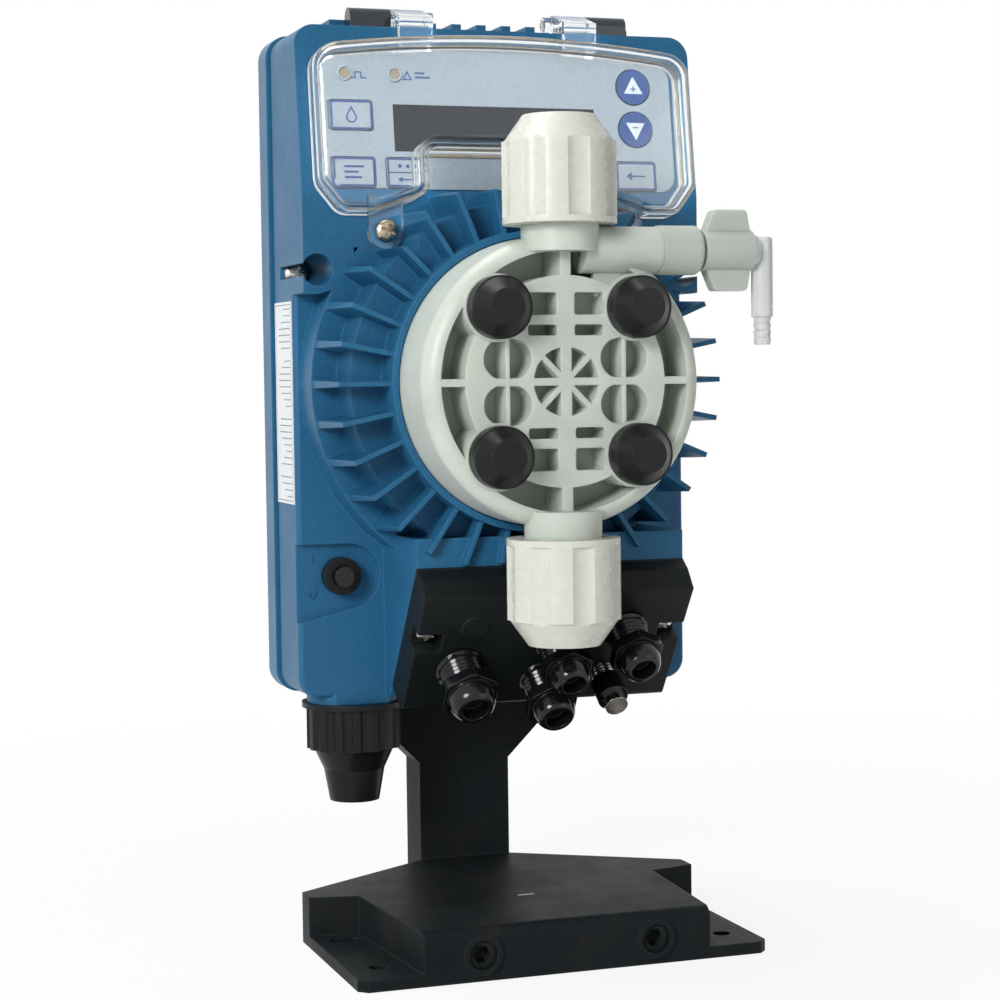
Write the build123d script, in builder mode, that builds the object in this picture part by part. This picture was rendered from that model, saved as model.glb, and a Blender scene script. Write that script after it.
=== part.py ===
from build123d import *
import os
from math import atan, cos, degrees, radians, sin

os.makedirs("parts", exist_ok=True)


def slope(wide_r, narrow_r, length):
    return degrees(atan((wide_r - narrow_r) / length))


# Diaphragm metering pump on a moulded foot, in millimetres
# The origin is the centre of the four foot holes, on the floor, with +Z up and the front facing -Y

# Foot
foot_width = 123.0
foot_hole_spacing_x = 105.0
foot_hole_spacing_y = 34.4
foot_hole_r = 2.6
foot_slot_length = 9.5
foot_plate = 3.4
foot_block_height = 15.0
foot_front_margin = 13.3
foot_side_length = 63.5
foot_point_length = 94.5
foot_block_half_front = 43.0
foot_block_half_back = 47.0
foot_notch_length = 52.0
foot_front_round = 3.5
foot_corner = 2.5
foot_shell = 3.2
boss_spacing = 52.0
boss_height = 7.4
boss_r = 5.8
boss_bore_r = 4.2
boss_hole_r = 2.2
boss_stand = 0.9
boss_bore_depth = 5.0
stem_half_width = 14.8
stem_depth = 15.0
stem_wall = 3.5
stem_flare_z = 46.0
wing_half_width = 34.0
wing_top_z = 70.6
back_plate_top = 150.0
back_plate_thick = 4.5
back_plate_rib = 3.0

# Case
rear_y = 67.2
case_width = 125.5
case_height = 199.4
case_bottom_z = 72.4
case_corner_r = 7.0
case_wall = 3.0
rear_round = 2.5
rim_depth = 12.0
gasket_thick = 1.0
band_depth = 2.0
band_inset = 2.2
housing_inset = 0.9
shelf_depth = 37.5
shelf_round = 1.6
case_mid_z = case_bottom_z + case_height / 2
case_top_z = case_bottom_z + case_height
housing_width = case_width - 2 * housing_inset
housing_height = case_height - 2 * housing_inset
housing_top_z = case_top_z - housing_inset
gasket_front = rim_depth + gasket_thick

# Control panel
panel_top_z = 268.0
panel_top_depth = 43.5
panel_tilt = 8.0
panel_bottom_z = 206.0
panel_lobe_r = 12.5
panel_lobe_x = case_width / 2 - 3.75
panel_lobe_z = 205.0
panel_shell = 3.0
overlay_thick = 0.5
overlay_bottom = -45.5
overlay_top = -4.0
overlay_half_width = case_width / 2 - 8.25
overlay_arch = 2.6
overlay_corner = 5.0
display_left = 21.0 - overlay_half_width
display_right = overlay_half_width - 25.0
display_width = display_right - display_left
display_height = 14.0
display_x = (display_left + display_right) / 2
display_y = -27.5
display_thick = 1.4
key_width = 12.6
key_height = 8.6
key_round = 0.8
key_columns = (8.3 - overlay_half_width, 24.5 - overlay_half_width, overlay_half_width - 12.7)
key_upper_y = -24.0
key_lower_y = -40.8
arrow_key_r = 5.3
arrow_key_x = overlay_half_width - 11.9
arrow_upper_y = -13.4
arrow_lower_y = -26.4
key_thick = 1.6
key_proud = 0.3
key_gap = 0.35
key_pocket = 1.9
panel_space = 12.0
lamp_r = 1.5
lamp_gap = 0.05
lamp_height = 2.4
lamp_y = -11.6
lamp_columns = (6.9 - overlay_half_width, 22.1 - overlay_half_width)

# Clear cover
cover_half_width = case_width / 2 - 4.15
cover_top = -0.6
cover_bottom = -53.6
cover_side_top = -5.0
cover_notch_half = cover_half_width - 33.1
cover_notch_top = -34.6
cover_notch_bottom = -48.0
cover_corner = 8.0
cover_height = 9.0
cover_wall = 1.8
cover_base_gap = 1.0
cover_lobe_inner = cover_half_width - 16.6
cover_lobe_outer = cover_half_width - 6.6
cover_side_low = -45.0
cover_round = 5.2
cover_front_round = 3.4
notch_round = 3.0
hinge_depth = 36.0
hinge_z = 274.2
hinge_r = 3.0
hinge_pin_r = 1.25
hinge_fit = 0.05
knuckle_inner = case_width / 2 - 42.15
knuckle_outer = knuckle_inner + 10.2
barrel_length = 12.5
knuckle_gap = 0.3
pin_head_length = 2.6
pin_head_r = 2.4
arm_thick = 2.4
latch_x = cover_half_width - 21.1
latch_z = 210.6
latch_r = 5.2
latch_boss_r = 4.6
latch_tab = 2.2
latch_lift = 0.3
latch_head_r = 3.4
latch_head_height = 2.4
latch_shank_r = 1.5
latch_shank = 5.0
latch_hole_r = 2.1
latch_clear_width = 11.4
latch_clear_height = 17.2

# Finned drum and diaphragm head
axis_z = 166.4
fin_count = 32
fin_root_r = case_width / 2 - 2.35
fin_tip_r = fin_root_r - 2.1
fin_depth = 73.8
fin_inner_r = 38.0
fin_root_thick = 2.8
fin_draft = 1.0
fin_top_z = 221.4
fin_low_z = 114.4
head_r = 41.0
drum_r = fin_root_r - 0.4
ring_r = head_r + 2.2
drum_steps = ((drum_r, 50.0), ((drum_r + ring_r) / 2 + 0.9, 65.0), (ring_r, 74.0))
ring_front = 76.0
drum_bore_r = 45.0
drum_bore_depth = 58.0
head_fit = 0.3
adapter_back = 71.0
adapter_thick = 3.0
adapter_bore_r = 23.0
head_back = adapter_back + adapter_thick
head_front = 100.0
head_round = 5.0
trough_inner_r = 29.5
trough_outer_r = 36.4
trough_depth = 14.0
head_bar = 3.2
pocket_depth = 9.0
oval_x = 17.2
oval_z = 6.4
oval_length = 14.0
oval_height = 11.2
oval_rib = 1.2
star_inner_r = 2.6
star_outer_r = 9.6
star_spoke = 1.5
star_depth = 7.0
slot_x = 6.9
slot_width = 8.6
slot_z = 21.6
slot_height = 6.2
thin_slot_z = 14.3
thin_slot_height = 3.0
bolt_spacing = 41.0
bolt_boss_r = 9.4
bolt_boss_front = 101.0
bolt_r = 3.0
bolt_hole_r = 3.4
bolt_head_r = 5.0
bolt_head_height = 6.0
bolt_counterbore_r = 5.4
bolt_counterbore = 13.0
bolt_tip_depth = 63.0
cap_r = 8.7
cap_rim = 5.0
cap_taper = 4.4
cap_face_r = 5.0
cap_plug_r = 5.1
cap_plug = 4.6
cap_step = 0.4
chamber_r = 19.0
chamber_depth = 2.6

# Valve stacks, measured from the head axis
stack_depth = 96.0
neck_r = 10.9
neck_start = 36.0
neck_end = 52.0
channel_r = 2.0
channel_depth = 80.0
channel_link = 39.0
seat_r = 7.2
seat_fit = 0.1
seat_thick = 3.4
upper_seat_start = 46.0
seat_bore_r = 2.2
ball_r = 3.0
ball_seat_r = 2.5
ball_gap = 0.3
cage_r = 3.9
washer_outer_r = 10.2
washer_inner_r = 7.8
washer_thick = 0.8
cartridge_flange_r = 10.4
cartridge_flange = 2.6
cartridge_stem_r = 7.0
cartridge_stem = 7.0
nipple_r = 3.3
nipple_tip_r = 2.5
nipple_length = 7.4
clamp_r = 7.4
clamp_bore_r = 3.8
clamp_height = 4.6
union_r = 16.0
union_start = 43.6
union_shoulder = 66.4
union_end = 73.7
union_end_r = 10.2
union_step = 0.6
union_skirt = 1.8
union_play = 0.2
union_fit = 0.05
union_bore_r = 8.0
union_hole_r = 4.6
union_ceiling = 69.9
union_flutes = 8
flute_r = 7.0
flute_bite = 1.1

# Bleed valve on the upper branch
branch_z = 203.0
branch_r = 6.6
branch_end = 29.0
branch_bore_r = 5.0
branch_bore_start = 18.0
bonnet_r = 7.0
bonnet_end = 41.4
bonnet_spigot_r = 4.95
bonnet_round = 1.4
needle_r = 3.0
needle_fit = 0.05
needle_seat = 18.0
needle_cone = 2.2
needle_tip_r = 1.1
needle_groove_x = 30.0
needle_groove_r = 2.2
needle_groove_width = 1.6
knob_start = 42.3
knob_end = 57.6
knob_hub_r = 5.9
knob_wing = 23.0
knob_wing_thick = 4.2
knob_wing_start = 46.0
wing_lean = 1.6
nozzle_bore_r = 1.7
nozzle_stub_r = 1.65
nozzle_disc_r = 4.4
nozzle_disc_end = 59.6
nozzle_x = 61.7
nozzle_r = 3.1
nozzle_arm_r = 2.4
nozzle_top = 207.0
nozzle_top_round = 1.0
nozzle_step_z = 184.2
nozzle_end_z = 176.2
nozzle_barb_r = 2.6
nozzle_hole_r = 1.2
nozzle_play = 0.1
nozzle_barbs = 4
nozzle_barb_pitch = 2.0
nozzle_barb_tip_r = 2.2

# Wiring chest and its slanted black cover
chest_left = case_width / 2 - 27.25
chest_right = case_width / 2 - 15.75
chest_mid_x = (chest_right - chest_left) / 2
chest_width = chest_left + chest_right
chest_depth = 71.0
chest_top_z = 113.6
chest_slant = 36.0
chest_foot = 45.2
chest_block_top = 122.0
chest_space = 24.0
chest_shell = 3.0
lid_thick = 11.5
lid_wall = 2.5
lid_gasket = 0.8
lid_nose = 6.5
lid_nose_back = 2.0
lid_corner = 2.4
lid_screw_inset = 4.4
lid_screw_t = -18.6
lid_ear = 8.0
lid_ear_depth = 5.5
lid_screw_r = 1.5
lid_screw_head_r = 2.7
lid_screw_head = 1.8
lid_screw_length = 9.0
lid_screw_gap = 0.3
blank_x = chest_mid_x - 0.294 * chest_width
blank_t = -13.4
blank_r = 4.2
blank_height = 0.5
gland_places = (
    (chest_mid_x - 0.319 * chest_width, -28.4, 7.2),
    (chest_mid_x - 0.002 * chest_width, -34.2, 6.6),
    (chest_mid_x + 0.025 * chest_width, -21.0, 6.2),
    (chest_mid_x + 0.275 * chest_width, -16.6, 6.6),
)
gland_thread = 5.0
gland_thread_part = 0.72
gland_hex = 7.5
gland_dome = 5.5
gland_mouth_part = 0.52
gland_flange = 2.2
gland_play = 0.6
gland_dome_part = 0.86
gland_slope = 14.0
plug_x = chest_mid_x + 0.228 * chest_width
plug_t = -33.0
plug_thread_r = 3.6
plug_thread = 5.0
plug_body_r = 4.6
plug_body = 7.0
plug_tip_r = 3.4
plug_tip = 3.6
plug_pin_r = 0.9
terminal_gap = 1.0
terminal_pitch = 5.0
terminal_count = 7
terminal_hole = 2.6
terminal_depth = 9.0

# Power cable inlet
inlet_x = 20.15 - case_width / 2
inlet_thread_r = 6.9
inlet_thread = 5.0
inlet_clear = 0.1
inlet_neck_r = 14.0
inlet_neck = 1.6
inlet_collar_r = 15.5
inlet_collar = 1.6
inlet_nut_r = 14.2
inlet_nut = 12.6
inlet_cone_r = 9.2
inlet_cone = 6.4
inlet_end_r = 7.5
inlet_end = 9.6
inlet_bore_r = 4.5
inlet_flutes = 16
inlet_flute_r = 2.0

# Mains switch
switch_x = 14.15 - case_width / 2
switch_z = 109.5
switch_pocket_r = 9.6
switch_pocket_depth = 2.4
switch_pocket_foot = 95.5
switch_shift = 2.0
switch_slope = 20.0
switch_ring_r = 5.6
switch_ring_front = 39.2
switch_body_r = 4.4
switch_body_back = 22.0
switch_button_r = 3.1
switch_button_front = 42.0
switch_button_back = 31.0
switch_fit = 0.05
switch_travel = 1.5

# Drive inside the drum
yoke_r = 40.0
yoke_back = 17.0
yoke_wall = 3.0
yoke_end = 4.0
yoke_gap = 0.4
coil_r = 36.4
coil_bore_r = 17.0
plunger_r = 14.0
plunger_back = 32.0
plunger_front = 56.0
pole_front = 30.0
pole_r = 14.0
rod_r = 4.0
rod_guide_r = 4.05
collar_r = 8.0
collar_back = 61.2
collar_thick = 1.0
spring_r = 6.6
spring_wire_r = 0.6
spring_turns = 4
spring_back = 64.4
spring_length = 4.4
washer_back = 69.8
washer_plate = 1.2
washer_bore_r = 5.0
drive_room_r = 14.3
drive_room_back = 60.9
disc_r = 14.0
disc_front = 75.2
disc_back = 72.6
bead_r = 31.0
bead_bore_r = 15.0
bead_thick = 1.0
seal_ring_r = 34.0
seal_ring_wire_r = 0.9

# Boards and fastenings
board_depth = 7.0
board_thick = 1.6
board_width = case_width - 29.5
board_height = 150.0
screw_r = 1.8
screw_fit = 0.4
screw_head_r = 3.4
screw_head = 2.6
pillar_r = 4.4
pillar_inset = 8.6
side_screw_x = case_width / 2 - 5.15
side_screw_z = 199.6
side_pocket_r = 4.6
side_pocket_back = 22.0
bracket_screw_x = 25.0
bracket_screw_low_z = 92.0
bracket_screw_high_z = 136.0
bracket_screw_length = 9.0
rib_count = 5
rib_pitch = 0.4 * (knuckle_inner - 0.85)
rib_width = 3.0
rib_height = 3.6
rib_back = 4.0
rib_front = 30.0
side_bar_x = case_width / 2 - 17.75
side_bar_width = 5.0
label_length = 60.0
label_width = 20.0
label_mid_z = 161.0
label_thick = 0.3

back_plane = Plane.XZ.offset(-rear_y)
head_plane = Plane(origin=(0, rear_y, axis_z), x_dir=(1, 0, 0), z_dir=(0, -1, 0))
panel_dir = (0, -cos(radians(panel_tilt)), sin(radians(panel_tilt)))
panel_plane = Plane(origin=(0, rear_y - panel_top_depth, panel_top_z), x_dir=(1, 0, 0), z_dir=panel_dir)
slant_dir = (0, -cos(radians(chest_slant)), -sin(radians(chest_slant)))
slant_plane = Plane(origin=(0, rear_y - chest_depth, chest_top_z), x_dir=(1, 0, 0), z_dir=slant_dir)
stack_y = rear_y - stack_depth
corner_x = case_width / 2 - pillar_inset
corner_low_z = case_bottom_z + pillar_inset
corner_high_z = case_top_z - pillar_inset
chest_low_z = case_bottom_z + housing_inset
inlet_centre = (gasket_front + band_depth + shelf_depth) / 2
key_points = [
    (key_columns[0], key_upper_y),
    (key_columns[0], key_lower_y),
    (key_columns[1], key_lower_y),
    (key_columns[2], key_lower_y),
]
arrow_points = [(arrow_key_x, arrow_upper_y), (arrow_key_x, arrow_lower_y)]
lamp_points = [(column, lamp_y) for column in lamp_columns]
lid_screw_points = [
    (-chest_left + lid_screw_inset, lid_screw_t),
    (chest_right - lid_screw_inset, lid_screw_t),
]
corner_points = [
    (-corner_x, corner_low_z),
    (corner_x, corner_low_z),
    (-corner_x, corner_high_z),
    (corner_x, corner_high_z),
]
bolt_points = [(-bolt_spacing / 2, -bolt_spacing / 2), (bolt_spacing / 2, -bolt_spacing / 2),
               (-bolt_spacing / 2, bolt_spacing / 2), (bolt_spacing / 2, bolt_spacing / 2)]
bracket_points = [(-bracket_screw_x, bracket_screw_low_z), (bracket_screw_x, bracket_screw_low_z),
                  (-bracket_screw_x, bracket_screw_high_z), (bracket_screw_x, bracket_screw_high_z)]
side_points = [(-side_screw_x, side_screw_z), (side_screw_x, side_screw_z)]

# Foot bracket
foot_front_y = -(foot_hole_spacing_y / 2 + foot_front_margin)
foot_side_y = foot_front_y + foot_side_length
foot_point_y = foot_front_y + foot_point_length
foot_notch_y = foot_front_y + foot_notch_length
stem_back_y = foot_point_y + stem_depth

with BuildPart() as foot_bracket:
    with BuildSketch():
        with BuildLine():
            Polyline(
                (-foot_width / 2, foot_side_y),
                (-foot_width / 2, foot_front_y + foot_corner),
                (-foot_width / 2 + foot_corner, foot_front_y),
                (foot_width / 2 - foot_corner, foot_front_y),
                (foot_width / 2, foot_front_y + foot_corner),
                (foot_width / 2, foot_side_y),
                (stem_half_width, foot_point_y),
                (-stem_half_width, foot_point_y),
                close=True,
            )
        make_face()
    extrude(amount=foot_plate)
    with BuildSketch():
        with BuildLine():
            Polyline(
                (-foot_block_half_front, foot_front_y),
                (foot_block_half_front, foot_front_y),
                (foot_block_half_back, foot_notch_y),
                (foot_width / 2, foot_notch_y + foot_plate),
                (foot_width / 2, foot_side_y),
                (stem_half_width, foot_point_y),
                (-stem_half_width, foot_point_y),
                (-foot_width / 2, foot_side_y),
                (-foot_width / 2, foot_notch_y + foot_plate),
                (-foot_block_half_back, foot_notch_y),
                close=True,
            )
        make_face()
    extrude(amount=foot_block_height)
    front_edges = foot_bracket.edges().filter_by(Axis.X).filter_by_position(
        Axis.Y,
        foot_front_y - foot_plate / 2,
        foot_front_y + foot_plate / 2,
    )
    fillet(front_edges.sort_by(Axis.Z)[-1], foot_front_round)
    with BuildSketch(Plane.XZ.offset(-foot_front_y)):
        with Locations((-boss_spacing / 2, boss_height), (boss_spacing / 2, boss_height)):
            Circle(boss_r)
    extrude(amount=boss_stand)
    # Hollow underside of the block
    with BuildSketch():
        with BuildLine():
            Polyline(
                (-foot_block_half_front + foot_shell, foot_front_y + foot_shell + boss_bore_depth),
                (foot_block_half_front - foot_shell, foot_front_y + foot_shell + boss_bore_depth),
                (foot_block_half_back - foot_shell, foot_notch_y + foot_shell),
                (foot_block_half_back + foot_shell, foot_side_y),
                (stem_half_width, foot_point_y - foot_shell),
                (-stem_half_width, foot_point_y - foot_shell),
                (-foot_block_half_back - foot_shell, foot_side_y),
                (-foot_block_half_back + foot_shell, foot_notch_y + foot_shell),
                close=True,
            )
        make_face()
    extrude(amount=foot_block_height - foot_shell, mode=Mode.SUBTRACT)
    with BuildSketch(Plane.XZ.offset(-foot_front_y + boss_stand)):
        with Locations((-boss_spacing / 2, boss_height), (boss_spacing / 2, boss_height)):
            Circle(boss_bore_r)
    extrude(amount=-boss_bore_depth, mode=Mode.SUBTRACT)
    with BuildSketch(Plane.XZ.offset(-foot_front_y)):
        with Locations((-boss_spacing / 2, boss_height), (boss_spacing / 2, boss_height)):
            Circle(boss_hole_r)
    extrude(amount=-(boss_bore_depth + 2 * foot_shell), mode=Mode.SUBTRACT)
    with BuildSketch():
        with Locations(
            (-foot_hole_spacing_x / 2, -foot_hole_spacing_y / 2),
            (foot_hole_spacing_x / 2, -foot_hole_spacing_y / 2),
        ):
            Circle(foot_hole_r)
        with Locations(
            (-foot_hole_spacing_x / 2, foot_hole_spacing_y / 2),
            (foot_hole_spacing_x / 2, foot_hole_spacing_y / 2),
        ):
            SlotOverall(foot_slot_length, 2 * foot_hole_r)
    extrude(amount=foot_plate, mode=Mode.SUBTRACT)
    # Stem, a channel open at the back that widens under the case
    with BuildSketch(Plane.XZ.offset(-foot_point_y)):
        with BuildLine():
            Polyline(
                (-stem_half_width, 0),
                (stem_half_width, 0),
                (stem_half_width, stem_flare_z),
                (wing_half_width, stem_flare_z + wing_half_width - stem_half_width),
                (wing_half_width, wing_top_z),
                (-wing_half_width, wing_top_z),
                (-wing_half_width, stem_flare_z + wing_half_width - stem_half_width),
                (-stem_half_width, stem_flare_z),
                close=True,
            )
        make_face()
    extrude(amount=-stem_depth)
    with BuildSketch(Plane.XZ.offset(-foot_point_y - stem_wall)):
        with BuildLine():
            Polyline(
                (-stem_half_width + stem_wall, stem_wall),
                (stem_half_width - stem_wall, stem_wall),
                (stem_half_width - stem_wall, stem_flare_z + stem_wall / 2),
                (
                    wing_half_width - stem_wall,
                    stem_flare_z + wing_half_width - stem_half_width - stem_wall / 2,
                ),
                (wing_half_width - stem_wall, wing_top_z - stem_wall),
                (-wing_half_width + stem_wall, wing_top_z - stem_wall),
                (
                    -wing_half_width + stem_wall,
                    stem_flare_z + wing_half_width - stem_half_width - stem_wall / 2,
                ),
                (-stem_half_width + stem_wall, stem_flare_z + stem_wall / 2),
                close=True,
            )
        make_face()
    extrude(amount=-stem_depth, mode=Mode.SUBTRACT)
    # Plate up the back of the case with edge ribs
    with BuildSketch(back_plane):
        with Locations((0, (wing_top_z - stem_wall + back_plate_top) / 2)):
            Rectangle(2 * wing_half_width, back_plate_top - wing_top_z + stem_wall)
    extrude(amount=-back_plate_thick)
    with BuildSketch(back_plane.offset(-back_plate_thick)):
        for side in (-1, 1):
            with Locations((
                side * (wing_half_width - back_plate_rib / 2),
                (wing_top_z - stem_wall + back_plate_top) / 2,
            )):
                Rectangle(back_plate_rib, back_plate_top - wing_top_z + stem_wall)
    extrude(amount=-(stem_back_y - rear_y - back_plate_thick))
    with BuildSketch(back_plane):
        with Locations(*bracket_points):
            Circle(screw_r + screw_fit)
    extrude(amount=-back_plate_thick, mode=Mode.SUBTRACT)
foot_bracket.part.label = "foot_bracket"
export_step(foot_bracket.part, "parts/foot_bracket.step")

with BuildPart() as bracket_screws:
    with BuildSketch(back_plane.offset(-back_plate_thick)):
        with Locations(*bracket_points):
            Circle(screw_head_r)
    extrude(amount=-screw_head)
    with BuildSketch(back_plane.offset(-back_plate_thick)):
        with Locations(*bracket_points):
            Circle(screw_r)
    extrude(amount=bracket_screw_length)
bracket_screws.part.label = "bracket_screws"
export_step(bracket_screws.part, "parts/bracket_screws.step")

# Rear case
with BuildPart() as rear_case:
    with BuildSketch(back_plane):
        with Locations((0, case_mid_z)):
            RectangleRounded(case_width, case_height, case_corner_r)
    extrude(amount=rim_depth)
    fillet(rear_case.faces().sort_by(Axis.Y)[-1].edges(), rear_round)
    with BuildSketch(back_plane.offset(case_wall)):
        with Locations((0, case_mid_z)):
            RectangleRounded(
                case_width - 2 * case_wall,
                case_height - 2 * case_wall,
                case_corner_r - case_wall,
            )
    extrude(amount=rim_depth, mode=Mode.SUBTRACT)
    with BuildSketch(back_plane.offset(case_wall)):
        with Locations(*corner_points):
            Circle(pillar_r)
        with Locations(*bracket_points):
            Circle(pillar_r)
    extrude(amount=board_depth - case_wall)
    with BuildSketch(back_plane.offset(case_wall)):
        with Locations(*corner_points):
            Circle(pillar_r)
    extrude(amount=rim_depth - case_wall)
    with BuildSketch(back_plane):
        with Locations(*corner_points):
            Circle(screw_r + screw_fit)
        with Locations(*bracket_points):
            Circle(screw_r)
    extrude(amount=rim_depth, mode=Mode.SUBTRACT)
    with BuildSketch(back_plane):
        with Locations(*corner_points):
            Circle(screw_head_r + screw_fit)
    extrude(amount=screw_head + screw_fit, mode=Mode.SUBTRACT)
rear_case.part.label = "rear_case"
export_step(rear_case.part, "parts/rear_case.step")

with BuildPart() as case_gasket:
    with BuildSketch(back_plane.offset(rim_depth)):
        with Locations((0, case_mid_z)):
            RectangleRounded(
                case_width - 2 * band_inset,
                case_height - 2 * band_inset,
                case_corner_r - band_inset,
            )
            RectangleRounded(
                case_width - 2 * case_wall,
                case_height - 2 * case_wall,
                case_corner_r - case_wall,
                mode=Mode.SUBTRACT,
            )
    extrude(amount=gasket_thick)
case_gasket.part.label = "case_gasket"
export_step(case_gasket.part, "parts/case_gasket.step")

with BuildPart() as case_screws:
    with BuildSketch(back_plane.offset(screw_fit)):
        with Locations(*corner_points):
            Circle(screw_head_r)
    extrude(amount=screw_head)
    with BuildSketch(back_plane.offset(screw_fit)):
        with Locations(*corner_points):
            Circle(screw_r)
    extrude(amount=shelf_depth - 2 * case_wall - screw_fit)
    with BuildSketch(back_plane.offset(side_pocket_back)):
        with Locations(*side_points):
            Circle(screw_head_r)
    extrude(amount=screw_head)
    with BuildSketch(back_plane.offset(side_pocket_back)):
        with Locations(*side_points):
            Circle(screw_r)
    extrude(amount=-(side_pocket_back - gasket_front))
case_screws.part.label = "case_screws"
export_step(case_screws.part, "parts/case_screws.step")

# Fins of the drum, thinner and shorter towards the front
with BuildPart() as fin_set:
    with BuildSketch(head_plane.offset(shelf_depth - case_wall)):
        with PolarLocations((fin_inner_r + fin_root_r) / 2, fin_count):
            Rectangle(fin_root_r - fin_inner_r, fin_root_thick)
    extrude(amount=fin_depth - shelf_depth + case_wall, taper=fin_draft)
    with BuildSketch(Plane.XY.offset(axis_z)):
        with BuildLine():
            Polyline(
                (0, rear_y - shelf_depth + case_wall),
                (fin_root_r, rear_y - shelf_depth + case_wall),
                (fin_tip_r, rear_y - fin_depth),
                (0, rear_y - fin_depth),
                close=True,
            )
        make_face()
    revolve(axis=Axis((0, 0, axis_z), (0, 1, 0)), mode=Mode.INTERSECT)
    with BuildSketch(back_plane.offset(shelf_depth)):
        with Locations((0, fin_top_z + case_wall * 4)):
            Rectangle(case_width, case_wall * 8)
        with Locations((0, fin_low_z - case_wall * 4)):
            Rectangle(case_width, case_wall * 8)
    extrude(amount=fin_depth, mode=Mode.SUBTRACT)

# Front housing: shelf, sloped panel, wiring chest and finned drum
with BuildPart() as front_housing:
    with BuildSketch(back_plane.offset(gasket_front)):
        with Locations((0, case_mid_z)):
            RectangleRounded(
                case_width - 2 * band_inset,
                case_height - 2 * band_inset,
                case_corner_r - band_inset,
            )
    extrude(amount=band_depth)
    with BuildSketch(back_plane.offset(gasket_front + band_depth)):
        with Locations((0, case_mid_z)):
            RectangleRounded(housing_width, housing_height, case_corner_r - housing_inset)
    extrude(amount=shelf_depth - gasket_front - band_depth)
    fillet(front_housing.faces().sort_by(Axis.Y)[0].edges(), shelf_round)
    with BuildSketch(back_plane.offset(shelf_depth - shelf_round)):
        with Locations((0, (panel_bottom_z + housing_top_z) / 2)):
            Rectangle(housing_width, housing_top_z - panel_bottom_z)
        with BuildSketch(mode=Mode.PRIVATE) as lobe_limit:
            with Locations((0, case_mid_z)):
                RectangleRounded(housing_width, housing_height, case_corner_r - housing_inset)
        with Locations((-panel_lobe_x, panel_lobe_z), (panel_lobe_x, panel_lobe_z)):
            Circle(panel_lobe_r)
        with Locations((-latch_x, latch_z), (latch_x, latch_z)):
            Circle(latch_boss_r)
        with Locations((0, axis_z)):
            Circle(drum_steps[0][0])
        add(lobe_limit.sketch, mode=Mode.INTERSECT)
    extrude(amount=drum_steps[0][1] - shelf_depth + shelf_round)
    # The sloped face of the panel
    with BuildSketch(panel_plane):
        with Locations((0, overlay_bottom / 2)):
            Rectangle(case_width, -overlay_bottom + 2 * case_corner_r)
    extrude(amount=drum_steps[0][1], mode=Mode.SUBTRACT)
    # Wiring chest with a slanted lower front
    with BuildSketch(back_plane.offset(shelf_depth - shelf_round)):
        with Locations((chest_mid_x, (chest_low_z + chest_block_top) / 2)):
            Rectangle(chest_width, chest_block_top - chest_low_z)
    extrude(amount=chest_depth - shelf_depth + shelf_round)
    with BuildSketch(slant_plane):
        with Locations((chest_mid_x, -chest_foot)):
            Rectangle(chest_width + 2 * case_wall, 2 * chest_foot)
    extrude(amount=chest_depth, mode=Mode.SUBTRACT)
    # Stepped drum
    with BuildSketch(head_plane.offset(shelf_depth - case_wall)):
        Circle(drum_steps[1][0])
    extrude(amount=drum_steps[1][1] - shelf_depth + case_wall)
    with BuildSketch(head_plane.offset(drum_steps[1][1] - case_wall)):
        Circle(drum_steps[2][0])
    extrude(amount=ring_front - drum_steps[1][1] + case_wall)
    add(fin_set.part)
    # Lower side of the largest drum step
    with BuildSketch(head_plane.offset(shelf_depth - shelf_round)):
        with BuildSketch(mode=Mode.PRIVATE) as drum_limit:
            with Locations((0, -drum_steps[0][0] / 2)):
                Rectangle(housing_width, drum_steps[0][0])
            with Locations((0, drum_steps[0][0] / 4)):
                Rectangle(housing_width, drum_steps[0][0] / 2)
        Circle(drum_steps[0][0])
        add(drum_limit.sketch, mode=Mode.INTERSECT)
    extrude(amount=drum_steps[0][1] - shelf_depth + shelf_round)
    # Room for the latch tabs between the fins
    with BuildSketch(back_plane.offset(drum_steps[0][1])):
        with Locations((-latch_x, latch_z + case_wall), (latch_x, latch_z + case_wall)):
            Rectangle(latch_clear_width, latch_clear_height)
    extrude(amount=ring_front - drum_steps[0][1], mode=Mode.SUBTRACT)
    # Hollow inside
    with BuildSketch(back_plane.offset(gasket_front)):
        with Locations((0, case_mid_z)):
            RectangleRounded(
                case_width - 2 * case_wall,
                case_height - 2 * case_wall,
                case_corner_r - case_wall,
            )
    extrude(amount=band_depth, mode=Mode.SUBTRACT)
    with BuildSketch(back_plane.offset(gasket_front + band_depth)):
        with Locations((0, case_mid_z)):
            RectangleRounded(
                housing_width - 2 * case_wall,
                housing_height - 2 * case_wall,
                case_corner_r - case_wall,
            )
    extrude(
        amount=shelf_depth - switch_pocket_depth - case_wall - gasket_front - band_depth,
        mode=Mode.SUBTRACT,
    )
    with BuildSketch(head_plane.offset(gasket_front)):
        Circle(drum_bore_r)
    extrude(amount=drum_bore_depth - gasket_front, mode=Mode.SUBTRACT)
    with BuildSketch(panel_plane.offset(-panel_shell - key_pocket)):
        with Locations((0, (overlay_bottom + overlay_top) / 2)):
            Rectangle(2 * overlay_half_width - case_wall, overlay_top - overlay_bottom)
    extrude(amount=-panel_space, mode=Mode.SUBTRACT)
    with BuildSketch(slant_plane.offset(-chest_shell)):
        with Locations((chest_mid_x, -chest_foot / 2 - chest_shell / 2)):
            Rectangle(chest_width - 2 * chest_shell, chest_foot - 3 * chest_shell)
    extrude(amount=-chest_space, mode=Mode.SUBTRACT)
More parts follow.
